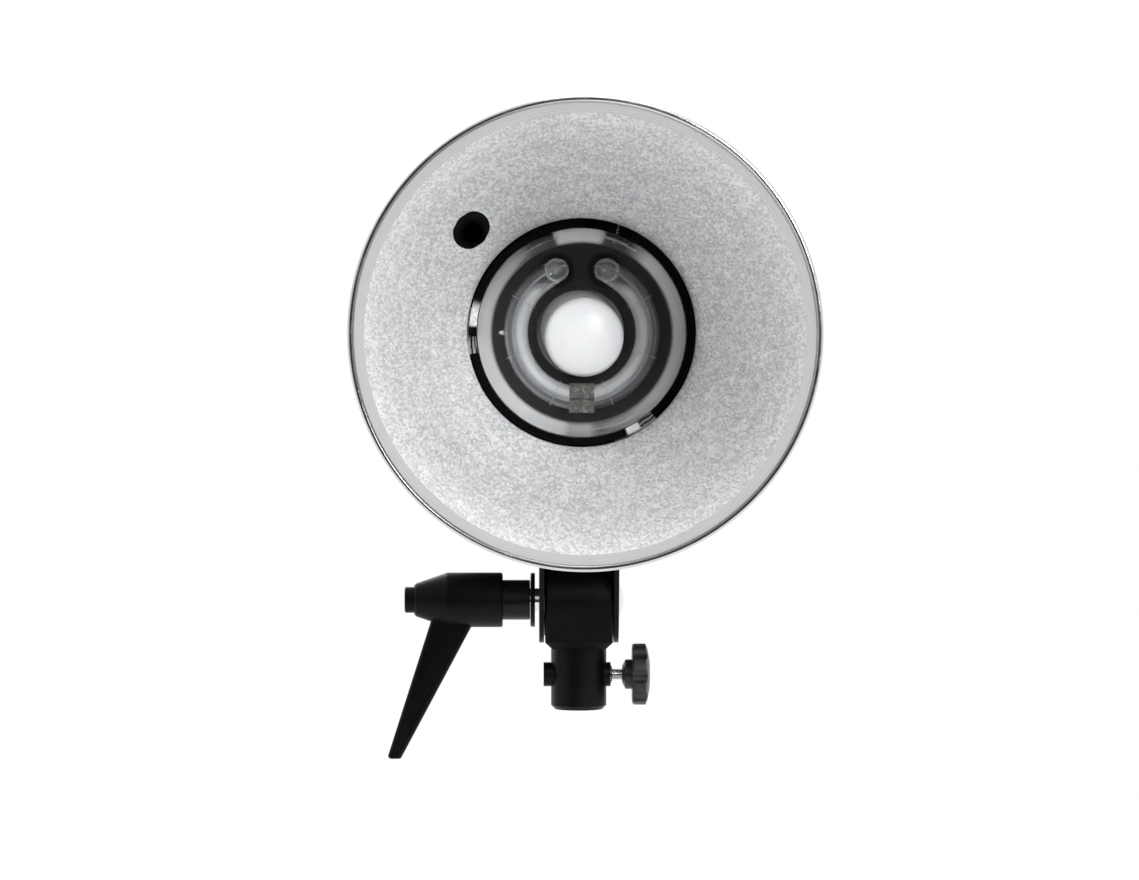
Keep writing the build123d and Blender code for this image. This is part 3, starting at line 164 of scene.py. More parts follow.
def mixShaders(nodes, first, second):
    mix = nodes.new("ShaderNodeMixShader")
    plug(first, mix.inputs[1])
    plug(second, mix.inputs[2])
    return mix


def addBump(nodes, shader, height, distance):
    bump = nodes.new("ShaderNodeBump")
    setInputs(bump, {"Distance": distance, "Strength": 1.0})
    plug(height, bump.inputs["Height"])
    plug(bump.outputs["Normal"], shader.inputs["Normal"])


def smudgeGloss(nodes, shader, size, low, high, detail=3.0):
    # Uneven roughness, as from handling
    smudge = addNoise(nodes, size, detail)
    plug(mapRange(nodes, smudge, low, high), shader.inputs["Roughness"])
    return smudge


def waveAlong(nodes, distance, pitch):
    return mathNode(nodes, "SINE", mathNode(nodes, "MULTIPLY", distance, 2 * math.pi / pitch))


def axisDistance(nodes):
    # Distance from the flash axis, m
    centred = vectorNode(nodes, "SUBTRACT", readPlace(nodes), (0, 0, flashAxis))["Vector"]
    return vectorNode(nodes, "LENGTH", vectorNode(nodes, "MULTIPLY", centred, (1, 0, 1))["Vector"])["Value"]


def valueRound(nodes, stops):
    # A value that changes round the flash axis, from stops of angle and value. The angle is in degrees
    # from the right, anticlockwise as seen from the front.
    parts = splitPlace(nodes)
    angle = mathNode(nodes, "ARCTAN2", mathNode(nodes, "SUBTRACT", parts["Z"], flashAxis), parts["X"])
    ramp = nodes.new("ShaderNodeValToRGB")
    elements = ramp.color_ramp.elements
    for degrees, value in stops[1:-1]:
        elements.new(degrees / 360 + 0.5).color = (value, value, value, 1)
    for index, value in ((0, stops[0][1]), (-1, stops[-1][1])):
        elements[index].color = (value, value, value, 1)
    plug(mathNode(nodes, "MULTIPLY_ADD", angle, 1 / (2 * math.pi), 0.5), ramp.inputs["Fac"])
    return ramp.outputs["Color"]


# Studio: white sweep, soft boxes, and a bright room that is dim only straight in front of the flash
studioLook = {
    "floorHeight": -0.45,
    "floorFront": -1.2,     # the floor ends here, in front of the flash
    "backdropStation": 2.6,
    "sweepHalfWidth": 6.0,
    "paper": (0.93, 0.93, 0.93),
    "roomBright": 0.8,
    "roomDim": 0.05,
    "dimAngle": 24.0,       # the room is dim inside this angle from straight in front, degrees
    "brightAngle": 64.0,    # and bright outside this one
}

softBoxes = [
    # name, place, aimed at, width, height, power in watts, mirrored in shiny things
    ("keyBox", (1.25, -2.25, 1.15), (0, -0.1, 0.16), 0.8, 0.8, 41, True),
    ("frontFill", (-0.2, -2.4, 0.5), (0, -0.1, 0.16), 0.7, 0.7, 23, False),
    ("topBox", (0.2, -0.3, 1.7), (0, 0, 0.15), 0.8, 0.8, 6, True),
    ("backBox", (-0.5, 1.8, 1.0), (0, 0, 0.15), 1.2, 0.9, 8, True),
]


def whitePaper(color):
    # Plain white where the camera, a reflection or glass sees it, and paper for the light that falls on it
    material, nodes, shader = startMaterial("studioPaper", color, roughness=0.9)
    path = nodes.new("ShaderNodeLightPath").outputs
    seen = mathNode(nodes, "MAXIMUM", path["Is Camera Ray"], path["Is Transmission Ray"])
    glow = nodes.new("ShaderNodeEmission")
    glow.inputs["Strength"].default_value = 1.0
    mix = mixShaders(nodes, shader.outputs["BSDF"], glow.outputs["Emission"])
    plug(mathNode(nodes, "MAXIMUM", seen, path["Is Glossy Ray"]), mix.inputs["Fac"])
    plug(mix.outputs["Shader"], nodes["Material Output"].inputs["Surface"])
    return material


def selectNothing():
    bpy.ops.object.select_all(action="DESELECT")


def buildSweep(look):
    half = look["sweepHalfWidth"]
    depth = look["backdropStation"] - look["floorFront"]
    middle = look["floorFront"] + depth / 2
    selectNothing()
    bpy.ops.mesh.primitive_plane_add(size=1, location=(0, middle, look["floorHeight"]))
    floor = bpy.context.active_object
    floor.name = "studioFloor"
    floor.scale = (2 * half, depth, 1)
    bpy.ops.object.transform_apply(location=False, rotation=False, scale=True)
    bpy.ops.mesh.primitive_plane_add(
        size=2 * half,
        location=(0, look["backdropStation"], look["floorHeight"] + half),
        rotation=(math.pi / 2, 0, 0),
    )
    backdrop = bpy.context.active_object
    backdrop.name = "studioBackdrop"
    paper = whitePaper(look["paper"])
    for sheet in (floor, backdrop):
        sheet.data.materials.append(paper)


def lightRoom(look):
    # The camera sees plain white in every direction
    world = bpy.data.worlds.new("studioRoom")
    world.use_nodes = True
    nodes = world.node_tree.nodes
    parts = nodes.new("ShaderNodeSeparateXYZ")
    plug(nodes.new("ShaderNodeTexCoord").outputs["Generated"], parts.inputs["Vector"])
    edges = [-math.cos(math.radians(look[name])) for name in ("dimAngle", "brightAngle")]
    bright = mapRange(nodes, parts.outputs["Y"], look["roomDim"], look["roomBright"], *edges)
    bright.node.interpolation_type = "SMOOTHSTEP"
    path = nodes.new("ShaderNodeLightPath").outputs
    background = nodes["Background"].inputs
    plug(mathNode(nodes, "MAXIMUM", path["Is Camera Ray"], bright), background["Strength"])
    background["Color"].default_value = (1, 1, 1, 1)
    bpy.context.scene.world = world


def hangBox(name, place, target, width, height, power, mirrored):
    light = bpy.data.lights.new(name, "AREA")
    light.shape = "RECTANGLE"
    light.size = width
    light.size_y = height
    light.energy = power
    lamp = bpy.data.objects.new(name, light)
    bpy.context.scene.collection.objects.link(lamp)
    lamp.location = place
    lamp.visible_glossy = mirrored
    lamp.visible_transmission = mirrored
    aim = Vector(target) - Vector(place)
    lamp.rotation_euler = aim.to_track_quat("-Z", "Y").to_euler()


buildSweep(studioLook)
lightRoom(studioLook)
for box in softBoxes:
    hangBox(*box)
bpy.context.scene.view_settings.view_transform = "Standard"
print("studio built with", len(softBoxes), "soft boxes")


# Finishes of the plain pieces
def grainyFinish(name, dark, light, roughness, metallic=0.0, shine=0.5, roughnessSpread=0.05,
                 cloudSize=0.01, grainSize=0.0005, grainDepth=0.00001):
    # A finish with a fine grain, slow changes of tone, and uneven gloss
    material, nodes, shader = startMaterial(name, dark, roughness, metallic)
    shader.inputs["Specular IOR Level"].default_value = shine
    low, high = roughness - roughnessSpread, roughness + roughnessSpread
    cloud = smudgeGloss(nodes, shader, cloudSize, low, high, detail=4.0)
    blendColors(nodes, mapRange(nodes, cloud, 0.0, 1.0), dark, light, shader.inputs["Base Color"])
    addBump(nodes, shader, addNoise(nodes, grainSize, detail=2.0), grainDepth)
    return material


finishes = {
    "powderCoat": dict(dark=(0.0012, 0.0012, 0.0013), light=(0.0028, 0.0028, 0.003), roughness=0.38,
                       shine=0.14, cloudSize=0.02, grainSize=0.0007, grainDepth=0.00006),
    "mountBlack": dict(dark=(0.0008, 0.0008, 0.0008), light=(0.0015, 0.0015, 0.0015), roughness=0.5,
                       shine=0.04, cloudSize=0.02, grainDepth=0.00003),
    "blackSteel": dict(dark=(0.008, 0.008, 0.0085), light=(0.016, 0.016, 0.017), metallic=0.5,
                       roughness=0.35, shine=0.3, roughnessSpread=0.08, cloudSize=0.008, grainSize=0.0004,
                       grainDepth=0.00002),
    "blackMoulding": dict(dark=(0.0012, 0.0012, 0.0013), light=(0.0028, 0.0028, 0.003), roughness=0.42,
                          shine=0.14, roughnessSpread=0.06, cloudSize=0.02, grainSize=0.0006,
                          grainDepth=0.00007),
    "knobPlastic": dict(dark=(0.008, 0.008, 0.0085), light=(0.02, 0.02, 0.021), roughness=0.36,
                        shine=0.45, roughnessSpread=0.06, cloudSize=0.004, grainDepth=0.00005),
    "housingPaint": dict(dark=(0.0052, 0.0052, 0.0056), light=(0.0072, 0.0072, 0.0077), roughness=0.5,
                         shine=0.25, roughnessSpread=0.015, cloudSize=0.03, grainSize=0.0009,
                         grainDepth=0.00012),
    "panelPlastic": dict(dark=(0.009, 0.009, 0.010), light=(0.014, 0.014, 0.015), roughness=0.55,
                         shine=0.25, cloudSize=0.03, grainSize=0.0006, grainDepth=0.00006),
    "satinSteel": dict(dark=(0.5, 0.5, 0.5), light=(0.66, 0.66, 0.66), metallic=1.0, roughness=0.25,
                       roughnessSpread=0.08, cloudSize=0.006, grainSize=0.0003),
    "brass": dict(dark=(0.5, 0.36, 0.16), light=(0.72, 0.55, 0.28), metallic=1.0, roughness=0.3,
                  roughnessSpread=0.08, cloudSize=0.004, grainSize=0.0003),
    "fibre": dict(dark=(0.012, 0.010, 0.009), light=(0.03, 0.026, 0.022), roughness=0.8, cloudSize=0.002,
                  grainSize=0.0004, grainDepth=0.00005),
    "turnedAluminium": dict(dark=(0.7, 0.71, 0.72), light=(0.86, 0.87, 0.88), metallic=1.0, roughness=0.2,
                            roughnessSpread=0.06),
    "ceramic": dict(dark=(0.7, 0.68, 0.62), light=(0.84, 0.82, 0.77), roughness=0.6, roughnessSpread=0.08,
                    grainDepth=0.00004),
    "laminate": dict(dark=(0.02, 0.12, 0.05), light=(0.05, 0.22, 0.1), roughness=0.4, roughnessSpread=0.1,
                     cloudSize=0.004, grainSize=0.0008, grainDepth=0.00003),
    "sleeve": dict(dark=(0.015, 0.02, 0.06), light=(0.03, 0.04, 0.1), roughness=0.3, cloudSize=0.02,
                   grainSize=0.001, grainDepth=0.00003),
    "zincSheet": dict(dark=(0.4, 0.41, 0.42), light=(0.6, 0.61, 0.62), metallic=1.0, roughness=0.4,
                      roughnessSpread=0.12, cloudSize=0.006, grainSize=0.0015, grainDepth=0.00002),
    "greyButton": dict(dark=(0.2, 0.2, 0.21), light=(0.27, 0.27, 0.28), roughness=0.5, cloudSize=0.005,
                       grainSize=0.0004, grainDepth=0.00003),
    "redButton": dict(dark=(0.4, 0.03, 0.02), light=(0.55, 0.05, 0.03), roughness=0.35, cloudSize=0.005,
                      grainSize=0.0004, grainDepth=0.00002),
    "glossBlack": dict(dark=(0.005, 0.005, 0.005), light=(0.009, 0.009, 0.009), roughness=0.22,
                       shine=0.35),
    "redLens": dict(dark=(0.2, 0.005, 0.005), light=(0.32, 0.01, 0.01), roughness=0.1,
                    roughnessSpread=0.04, cloudSize=0.004),
    "greenLens": dict(dark=(0.03, 0.3, 0.05), light=(0.06, 0.45, 0.08), roughness=0.15,
                      roughnessSpread=0.04, cloudSize=0.002),
    "darkNickel": dict(dark=(0.25, 0.25, 0.25), light=(0.4, 0.4, 0.4), metallic=0.9, roughness=0.35,
                       roughnessSpread=0.1, cloudSize=0.003, grainSize=0.0004),
    "markWhite": dict(dark=(0.62, 0.62, 0.6), light=(0.72, 0.72, 0.7), roughness=0.6, cloudSize=0.003,
                      grainSize=0.0002, grainDepth=0.000005),
}

surfaces = {name: grainyFinish(name, **look) for name, look in finishes.items()}


# Reflector: aluminium pebbled inside, satin on the flat ring, polished on the bead, spun outside
reflectorLook = {
    "pebbleDark": (0.47, 0.475, 0.485),
    "pebbleLight": (0.98, 0.985, 0.99),
    "pebbleMetal": 0.35,
    "pebbleRoughness": 0.6,
    "pebbleSize": 0.0008,
    "pebbleStretch": 0.25,  # scale of the pattern along the axis
    "pebbleDepth": 0.0002,
    "pebbleShare": 0.7,     # how much the tone changes from pebble to pebble
    "fineSize": 0.0005,
    "fineShare": 0.3,       # and inside a pebble
    "cloudSize": 0.009,
    "cloudShare": 0.12,     # and from place to place
    "paleFrom": 0.074,      # the pebbles turn paler from here to here off the axis, m
    "paleTo": 0.082,
    "paleShare": 0.18,
    "ringColor": (0.56, 0.565, 0.57),
    "ringShade": (0.46, 0.465, 0.47),
    "ringMetal": 0.5,
    "ringRoughness": 0.5,
    "ringSmudge": 0.012,    # size of the smudges, m
    "ringPitch": 0.0011,    # spacing of the turned lines on the flat ring, m
    "ringWander": 0.002,    # how far they wander
    "ringDepth": 0.000006,
    "beadColor": (0.72, 0.73, 0.74),
    "beadShade": (0.13, 0.135, 0.14),
    "beadRoughness": 0.22,
    "beadSmudge": 0.006,
    "beadShadeFrom": 0.0871,    # painted shade darkens the fold beside the bead from here to here off the axis, m
    "beadShadeTo": 0.0889,
    "beadShadeEdge": 0.0003,
    "beadShadeRound": [         # degrees and part of the painted shade
        (-180, 0.75), (-165, 0.75), (-150, 0.94), (-120, 0.86), (-105, 0.55), (-75, 0.6), (-60, 0.7),
        (-30, 0.7), (-10, 0.6), (0, 0.5), (15, 0.35), (30, 0.25), (45, 0.12), (60, 0.0), (85, 0.0),
        (100, 0.3), (115, 0.75), (135, 0.8), (150, 0.7), (165, 0.65), (180, 0.75),
    ],
    "spunColor": (0.6, 0.61, 0.62),
    "spunRoughness": 0.4,
    "spunSmudge": 0.02,
    "spunPitch": 0.0009,    # spacing of the spinning lines, m
    "spunDepth": 0.000008,
    "smootherBy": 0.06,     # smudges change the bead's and the spun side's roughness by this much
    "rougherBy": 0.08,
}


def pebbledAluminium(look):
    material, nodes, shader = startMaterial(
        "pebbledAluminium", look["pebbleDark"], look["pebbleRoughness"], look["pebbleMetal"])
    pattern = vectorNode(nodes, "MULTIPLY", readPlace(nodes), (1, look["pebbleStretch"], 1))["Vector"]
    cells = nodes.new("ShaderNodeTexVoronoi")
    cells.inputs["Scale"].default_value = 1.0 / look["pebbleSize"]
    plug(pattern, cells.inputs["Vector"])
    parts = nodes.new("ShaderNodeSeparateColor")
    plug(cells.outputs["Color"], parts.inputs["Color"])
    flecks = addNoise(nodes, look["fineSize"], detail=2.0, place=pattern)
    fine = mapRange(nodes, flecks, 0.0, look["fineShare"])
    grain = mathNode(nodes, "MULTIPLY_ADD", parts.outputs["Red"], look["pebbleShare"], fine)
    cloud = mapRange(nodes, addNoise(nodes, look["cloudSize"]), -look["cloudShare"], look["cloudShare"])
    pale = mapRange(nodes, axisDistance(nodes), 0.0, look["paleShare"], look["paleFrom"], look["paleTo"])
    tone = mathNode(nodes, "ADD", mathNode(nodes, "ADD", grain, cloud), pale)
    blendColors(nodes, tone, look["pebbleDark"], look["pebbleLight"], shader.inputs["Base Color"])
    addBump(nodes, shader, grain, look["pebbleDepth"])
    return material


def turnedRing(look):
    # Satin flat ring with fine lines left by the lathe
    material, nodes, shader = startMaterial(
        "turnedRing", look["ringColor"], look["ringRoughness"], look["ringMetal"])
    smudge = addNoise(nodes, look["ringSmudge"])
    wander = mathNode(nodes, "MULTIPLY_ADD", smudge, look["ringWander"], axisDistance(nodes))
    wave = waveAlong(nodes, wander, look["ringPitch"])
    tone = mathNode(nodes, "MULTIPLY", mapRange(nodes, wave, 0.0, 1.0, -1.0, 1.0), smudge)
    blendColors(nodes, tone, look["ringColor"], look["ringShade"], shader.inputs["Base Color"])
    addBump(nodes, shader, wave, look["ringDepth"])
    return material


def polishedBead(look):
    # Bright rolled bead, with painted shade in the fold beside the flat ring, stronger at some angles round
    # the rim than at others
    roughness = look["beadRoughness"]
    low, high = roughness - look["smootherBy"], roughness + look["rougherBy"]
    material, nodes, shader = startMaterial("polishedBead", look["beadColor"], roughness, metallic=1.0)
    distance = axisDistance(nodes)
    start, end, edge = look["beadShadeFrom"], look["beadShadeTo"], look["beadShadeEdge"]
    rise = mapRange(nodes, distance, 0.0, 1.0, start, start + edge)
    fall = mapRange(nodes, distance, 1.0, 0.0, end - edge, end + edge)
    fold = mathNode(nodes, "MULTIPLY", rise, fall)
    shade = mathNode(nodes, "MULTIPLY", fold, valueRound(nodes, look["beadShadeRound"]))
    blendColors(nodes, shade, look["beadColor"], look["beadShade"], shader.inputs["Base Color"])
    smudgeGloss(nodes, shader, look["beadSmudge"], low, high)
    return material


def spunAluminium(look):
    roughness = look["spunRoughness"]
    low, high = roughness - look["smootherBy"], roughness + look["rougherBy"]
    material, nodes, shader = startMaterial("spunAluminium", look["spunColor"], roughness, metallic=1.0)
    smudgeGloss(nodes, shader, look["spunSmudge"], low, high, detail=4.0)
    lines = waveAlong(nodes, axisDistance(nodes), look["spunPitch"])
    addBump(nodes, shader, lines, look["spunDepth"])
    return material


surfaces["pebbledAluminium"] = pebbledAluminium(reflectorLook)
surfaces["turnedRing"] = turnedRing(reflectorLook)
surfaces["polishedBead"] = polishedBead(reflectorLook)
surfaces["spunAluminium"] = spunAluminium(reflectorLook)


# Lugs, scored where the mount ring rubs them and with painted shade on one lug, and the mount ring with
# painted highlights
lugLook = {
    "bright": (0.9, 0.9, 0.9),
    "scoredAndShaded": (0.02, 0.02, 0.02),
    "scorePitch": 0.0016,   # spacing of the marks that the ways of the mount leave, m
    "scoreWander": 0.0012,
    "paintedShadeRight": 0.015,     # lugs beyond this far right and up get painted shade
    "paintedShadeUp": 0.175,
}

mountLook = {
    "black": (0.0012, 0.0012, 0.0012),
    "paintedGlint": (0.92, 0.92, 0.92),
    "paintedGlintRound": [        # degrees, and where a highlight is painted bright on the front edge
        (-180, 0), (-66, 0), (-65, 1), (-58, 1), (-57, 0), (163, 0), (167, 0.8), (170, 1), (176, 1),
        (177, 0), (180, 0),
    ],
    "paintedGlintFrom": -0.0918,  # the front edge, m
    "paintedGlintMetal": 0.4,
    "streakSize": 0.0015,
}


def scoredAndShadedChrome(look):
    # Lugs worn by the mount: bright, with dark scores along their travel, and painted shade on the lug up and
    # to the right
    material, nodes, shader = startMaterial("scoredAndShadedChrome", look["bright"], roughness=0.3, metallic=1.0)
    wander = addNoise(nodes, size=0.003, detail=2.0)
    shifted = mathNode(nodes, "MULTIPLY_ADD", wander, look["scoreWander"], axisDistance(nodes))
    wave = waveAlong(nodes, shifted, look["scorePitch"])
    parts = splitPlace(nodes)
    # Painted shade on the lug that lies right of and above these limits
    right = mathNode(nodes, "GREATER_THAN", parts["X"], look["paintedShadeRight"])
    up = mathNode(nodes, "GREATER_THAN", parts["Z"], look["paintedShadeUp"])
    paintedShade = mathNode(nodes, "MULTIPLY", right, up)
    scoresAndShade = mathNode(nodes, "MAXIMUM", mapRange(nodes, wave, 0.0, 1.0, fromLow=0.1, fromHigh=0.6), paintedShade)
    blendColors(nodes, scoresAndShade, look["bright"], look["scoredAndShaded"], shader.inputs["Base Color"])
    return material


def mountPaintedGlints(look):
    # The mount's black ring, with highlights painted bright and partly metallic on its front edge at two
    # places
    material, nodes, shader = startMaterial("mountPaintedGlints", look["black"], roughness=0.35)
    shader.inputs["Specular IOR Level"].default_value = 0.1
    front = mathNode(nodes, "LESS_THAN", splitPlace(nodes)["Y"], look["paintedGlintFrom"])
    # Painted highlight: bright, partly metallic patches at the listed angles
    paintedGlint = mathNode(nodes, "MULTIPLY", front, valueRound(nodes, look["paintedGlintRound"]))
    streaks = mapRange(nodes, addNoise(nodes, look["streakSize"]), 0.6, 1.0)
    paintedGlintMask = mathNode(nodes, "MULTIPLY", paintedGlint, streaks)
    blendColors(nodes, paintedGlintMask, look["black"], look["paintedGlint"], shader.inputs["Base Color"])
    plug(mathNode(nodes, "MULTIPLY", paintedGlintMask, look["paintedGlintMetal"]), shader.inputs["Metallic"])
    return material


def chrome():
    material, nodes, shader = startMaterial("chrome", (0.82, 0.83, 0.84), roughness=0.06, metallic=1.0)
    smudgeGloss(nodes, shader, size=0.004, low=0.04, high=0.12)
    return material


surfaces["scoredAndShadedChrome"] = scoredAndShadedChrome(lugLook)
surfaces["mountPaintedGlints"] = mountPaintedGlints(mountLook)
surfaces["chrome"] = chrome()


# Front plate, flash tube, its clip, glass dome and modelling lamp
plateLook = {
    "dark": (0.009, 0.009, 0.010),
    "light": (0.014, 0.014, 0.015),
    "shade": (0.0006, 0.0006, 0.0006),
    "legAside": 0.00984,    # the tube's two legs go through the plate here, m
    "legHeight": 0.1841,
    "legShade": 0.0073,     # and painted shade makes the plate black this far round them
    "legShadeEdge": 0.0002,
}

glassLook = {
    "scatterColor": (0.9, 0.905, 0.91),
    "throughShare": 0.7,        # part of the scattered light that goes through
    "domeTint": (0.97, 0.98, 0.99),
    "domeIor": 1.47,
    "domeMilkStart": 0.0356,    # the dome turns milky from this distance off the axis, m
    "domeMilkEnd": 0.0370,
    "domeMilk": 0.8,            # share of light that the milky corner scatters at most
    "domePaintedLightRound": [          # degrees and part of domeMilk: painted brighter and darker patches round the corner, which stand for reflections and shade
        (-180, 0.6), (-150, 0.82), (-125, 1.0), (-102, 0.75), (-97, 0.35), (-86, 0.45), (-80, 0.1),
        (-64, 0.28), (-40, 0.55), (0, 0.62), (30, 0.75), (48, 0.9), (54, 0.4), (59, 0.1), (63, 0.0),
        (76, 0.0), (80, 1.0), (90, 1.0), (103, 1.0), (107, 0.0), (122, 0.05), (135, 0.4), (160, 0.52),
        (180, 0.6),
    ],
    "quartzTint": (0.97, 0.975, 0.98),
    "quartzIor": 1.46,
    "quartzHaze": 0.025,
    "bandInner": 0.0229,        # a painted highlight, a bright band, runs along the tube's inner half
    "bandOuter": 0.0263,
    "bandEdge": 0.001,
    "highlightBandHaze": 0.5,
    "bandFull": 0.175,          # up to this height, and it ends at this one, under the bends
    "bandTop": 0.179,
    "line": (0.02, 0.02, 0.02),     # and a dark line beside it
    "lineInner": 0.0272,
    "lineOuter": 0.0278,
    "lineEdge": 0.0002,
    "legRimInner": 0.0041,      # a painted highlight, a pale circle, where the tube turns down into each leg
    "legRimOuter": 0.0048,
    "legHighlightHaze": 0.4,
    "tipFrom": 0.0312,          # and the exhaust tip, which is outside the ring
    "tipHaze": 0.9,
    "fineEdge": 0.0003,
}

lampLook = {
    "color": (0.7, 0.7, 0.7),
    "glow": 0.13,           # painted glow that stands for light caught inside the frosted bulb
    "depthShare": 0.2,      # part of the light that goes into the glass, this far
    "depth": 0.004,
    "coat": 0.3,
    "coatRoughness": 0.14,
}

clipLook = {
    "dark": (0.06, 0.058, 0.055),
    "light": (0.2, 0.192, 0.18),
    "slitLow": 0.1322,      # a dark slit across the clip
    "slitHigh": 0.1330,
    "slitEdge": 0.0001,
}


def legDistance(nodes, look):
    # Distance from the nearer leg of the tube, m
    parts = splitPlace(nodes)
    across = mathNode(nodes, "SUBTRACT", mathNode(nodes, "ABSOLUTE", parts["X"]), look["legAside"])
    rise = mathNode(nodes, "SUBTRACT", parts["Z"], look["legHeight"])
    square = mathNode(nodes, "MULTIPLY_ADD", across, across, mathNode(nodes, "MULTIPLY", rise, rise))
    return mathNode(nodes, "SQRT", square)


def plateEnamel(look):
    # The plate behind the glass: dark grey, with painted black shade round the tube's legs
    material, nodes, shader = startMaterial("plateEnamel", look["dark"], roughness=0.5)
    shader.inputs["Specular IOR Level"].default_value = 0.2
    radius, edge = look["legShade"], look["legShadeEdge"]
    shade = mapRange(nodes, legDistance(nodes, look), 0.0, 1.0, radius - edge, radius + edge)
    cloud = addNoise(nodes, size=0.01, detail=4.0)
    tone = mathNode(nodes, "MULTIPLY", shade, mapRange(nodes, cloud, 0.6, 1.0))
    blendColors(nodes, tone, look["shade"], look["light"], shader.inputs["Base Color"])
    addBump(nodes, shader, addNoise(nodes, size=0.0006, detail=2.0), distance=0.00004)
    return material


def letLampsThrough(nodes, surface):
    # Light from the lamps passes the glass straight, so that what is inside is lit
    clear = nodes.new("ShaderNodeBsdfTransparent")
    mix = mixShaders(nodes, surface, clear.outputs["BSDF"])
    plug(nodes.new("ShaderNodeLightPath").outputs["Is Shadow Ray"], mix.inputs["Fac"])
    plug(mix.outputs["Shader"], nodes["Material Output"].inputs["Surface"])


def hazyGlass(name, tint, ior, look):
    # Clear glass that can scatter a share of its light: returns the sockets for the share and its colour
    material, nodes, shader = startMaterial(name, tint, roughness=0.02)
    setInputs(shader, {"Transmission Weight": 1.0, "IOR": ior})
    smudgeGloss(nodes, shader, size=0.012, low=0.0, high=0.04)
    milk = nodes.new("ShaderNodeBsdfDiffuse")
    glow = nodes.new("ShaderNodeBsdfTranslucent")
    for scatter in (milk, glow):
        scatter.inputs["Color"].default_value = (*look["scatterColor"], 1.0)
    both = mixShaders(nodes, milk.outputs["BSDF"], glow.outputs["BSDF"])
    both.inputs["Fac"].default_value = look["throughShare"]
    mix = mixShaders(nodes, shader.outputs["BSDF"], both.outputs["Shader"])
    letLampsThrough(nodes, mix.outputs["Shader"])
    return material, nodes, mix.inputs["Fac"], milk.inputs["Color"]


def domeGlass(look):
    material, nodes, share = hazyGlass("domeGlass", look["domeTint"], look["domeIor"], look)[:3]
    # The milky corner is partly the glass's frosting and partly painted light that the corner refracts; its
    # change round the axis is painted reflection and shade
    start, end = look["domeMilkStart"], look["domeMilkEnd"]
    corner = mapRange(nodes, axisDistance(nodes), 0.0, look["domeMilk"], start, end)
    plug(mathNode(nodes, "MULTIPLY", corner, valueRound(nodes, look["domePaintedLightRound"])), share)
    return material


def quartz(look):
    material, nodes, share, milkColor = hazyGlass("quartz", look["quartzTint"], look["quartzIor"], look)
    distance = axisDistance(nodes)
    edge = look["fineEdge"]
    # Painted highlights: a bright band along the inner half, and pale circles at the legs
    highlightBand = ringMask(nodes, distance, look["bandInner"], look["bandOuter"], look["bandEdge"])
    below = mapRange(nodes, splitPlace(nodes)["Z"], 1.0, 0.0, look["bandFull"], look["bandTop"])
    kept = mathNode(nodes, "MULTIPLY", highlightBand, below)
    haze = mapRange(nodes, kept, look["quartzHaze"], look["highlightBandHaze"], 0.0, 1.0)
    leg = legDistance(nodes, plateLook)
    rim = ringMask(nodes, leg, look["legRimInner"], look["legRimOuter"], edge)
    paleRim = mathNode(nodes, "MULTIPLY", rim, look["legHighlightHaze"])
    tip = mapRange(nodes, distance, 0.0, look["tipHaze"], look["tipFrom"], look["tipFrom"] + edge)
    pale = mathNode(nodes, "MAXIMUM", mathNode(nodes, "MAXIMUM", haze, paleRim), tip)
    line = ringMask(nodes, distance, look["lineInner"], look["lineOuter"], look["lineEdge"])
    plug(mathNode(nodes, "MAXIMUM", pale, line), share)
    blendColors(nodes, line, look["scatterColor"], look["line"], milkColor)
    return material


def frostedGlass(look):
    material, nodes, shader = startMaterial("frostedGlass", look["color"], roughness=0.3)
    smudgeGloss(nodes, shader, size=0.01, low=0.26, high=0.36)
    # The emission is a painted glow for light caught inside the bulb
    setInputs(shader, {
        "Emission Color": (1, 1, 1, 1),
        "Emission Strength": look["glow"],
        "Subsurface Weight": look["depthShare"],
        "Subsurface Scale": look["depth"],
        "Coat Weight": look["coat"],
        "Coat Roughness": look["coatRoughness"],
    })
    return material


def smokyPlastic(look):
    # The tube's clip: the tube shows through it, and a slit runs across its middle
    material, nodes, shader = startMaterial("smokyPlastic", (0.2, 0.195, 0.185), roughness=0.25)
    setInputs(shader, {"Transmission Weight": 0.5, "IOR": 1.45})
    cloud = smudgeGloss(nodes, shader, size=0.002, low=0.18, high=0.3)
    slit = ringMask(nodes, splitPlace(nodes)["Z"], look["slitLow"], look["slitHigh"], look["slitEdge"])
    tone = mathNode(nodes, "SUBTRACT", mapRange(nodes, cloud, 0.3, 1.0), slit)
    blendColors(nodes, tone, look["dark"], look["light"], shader.inputs["Base Color"])
    letLampsThrough(nodes, shader.outputs["BSDF"])
    return material


surfaces["plateEnamel"] = plateEnamel(plateLook)
surfaces["domeGlass"] = domeGlass(glassLook)
surfaces["quartz"] = quartz(glassLook)
surfaces["frostedGlass"] = frostedGlass(lampLook)
surfaces["smokyPlastic"] = smokyPlastic(clipLook)
print("finishes made:", len(surfaces))


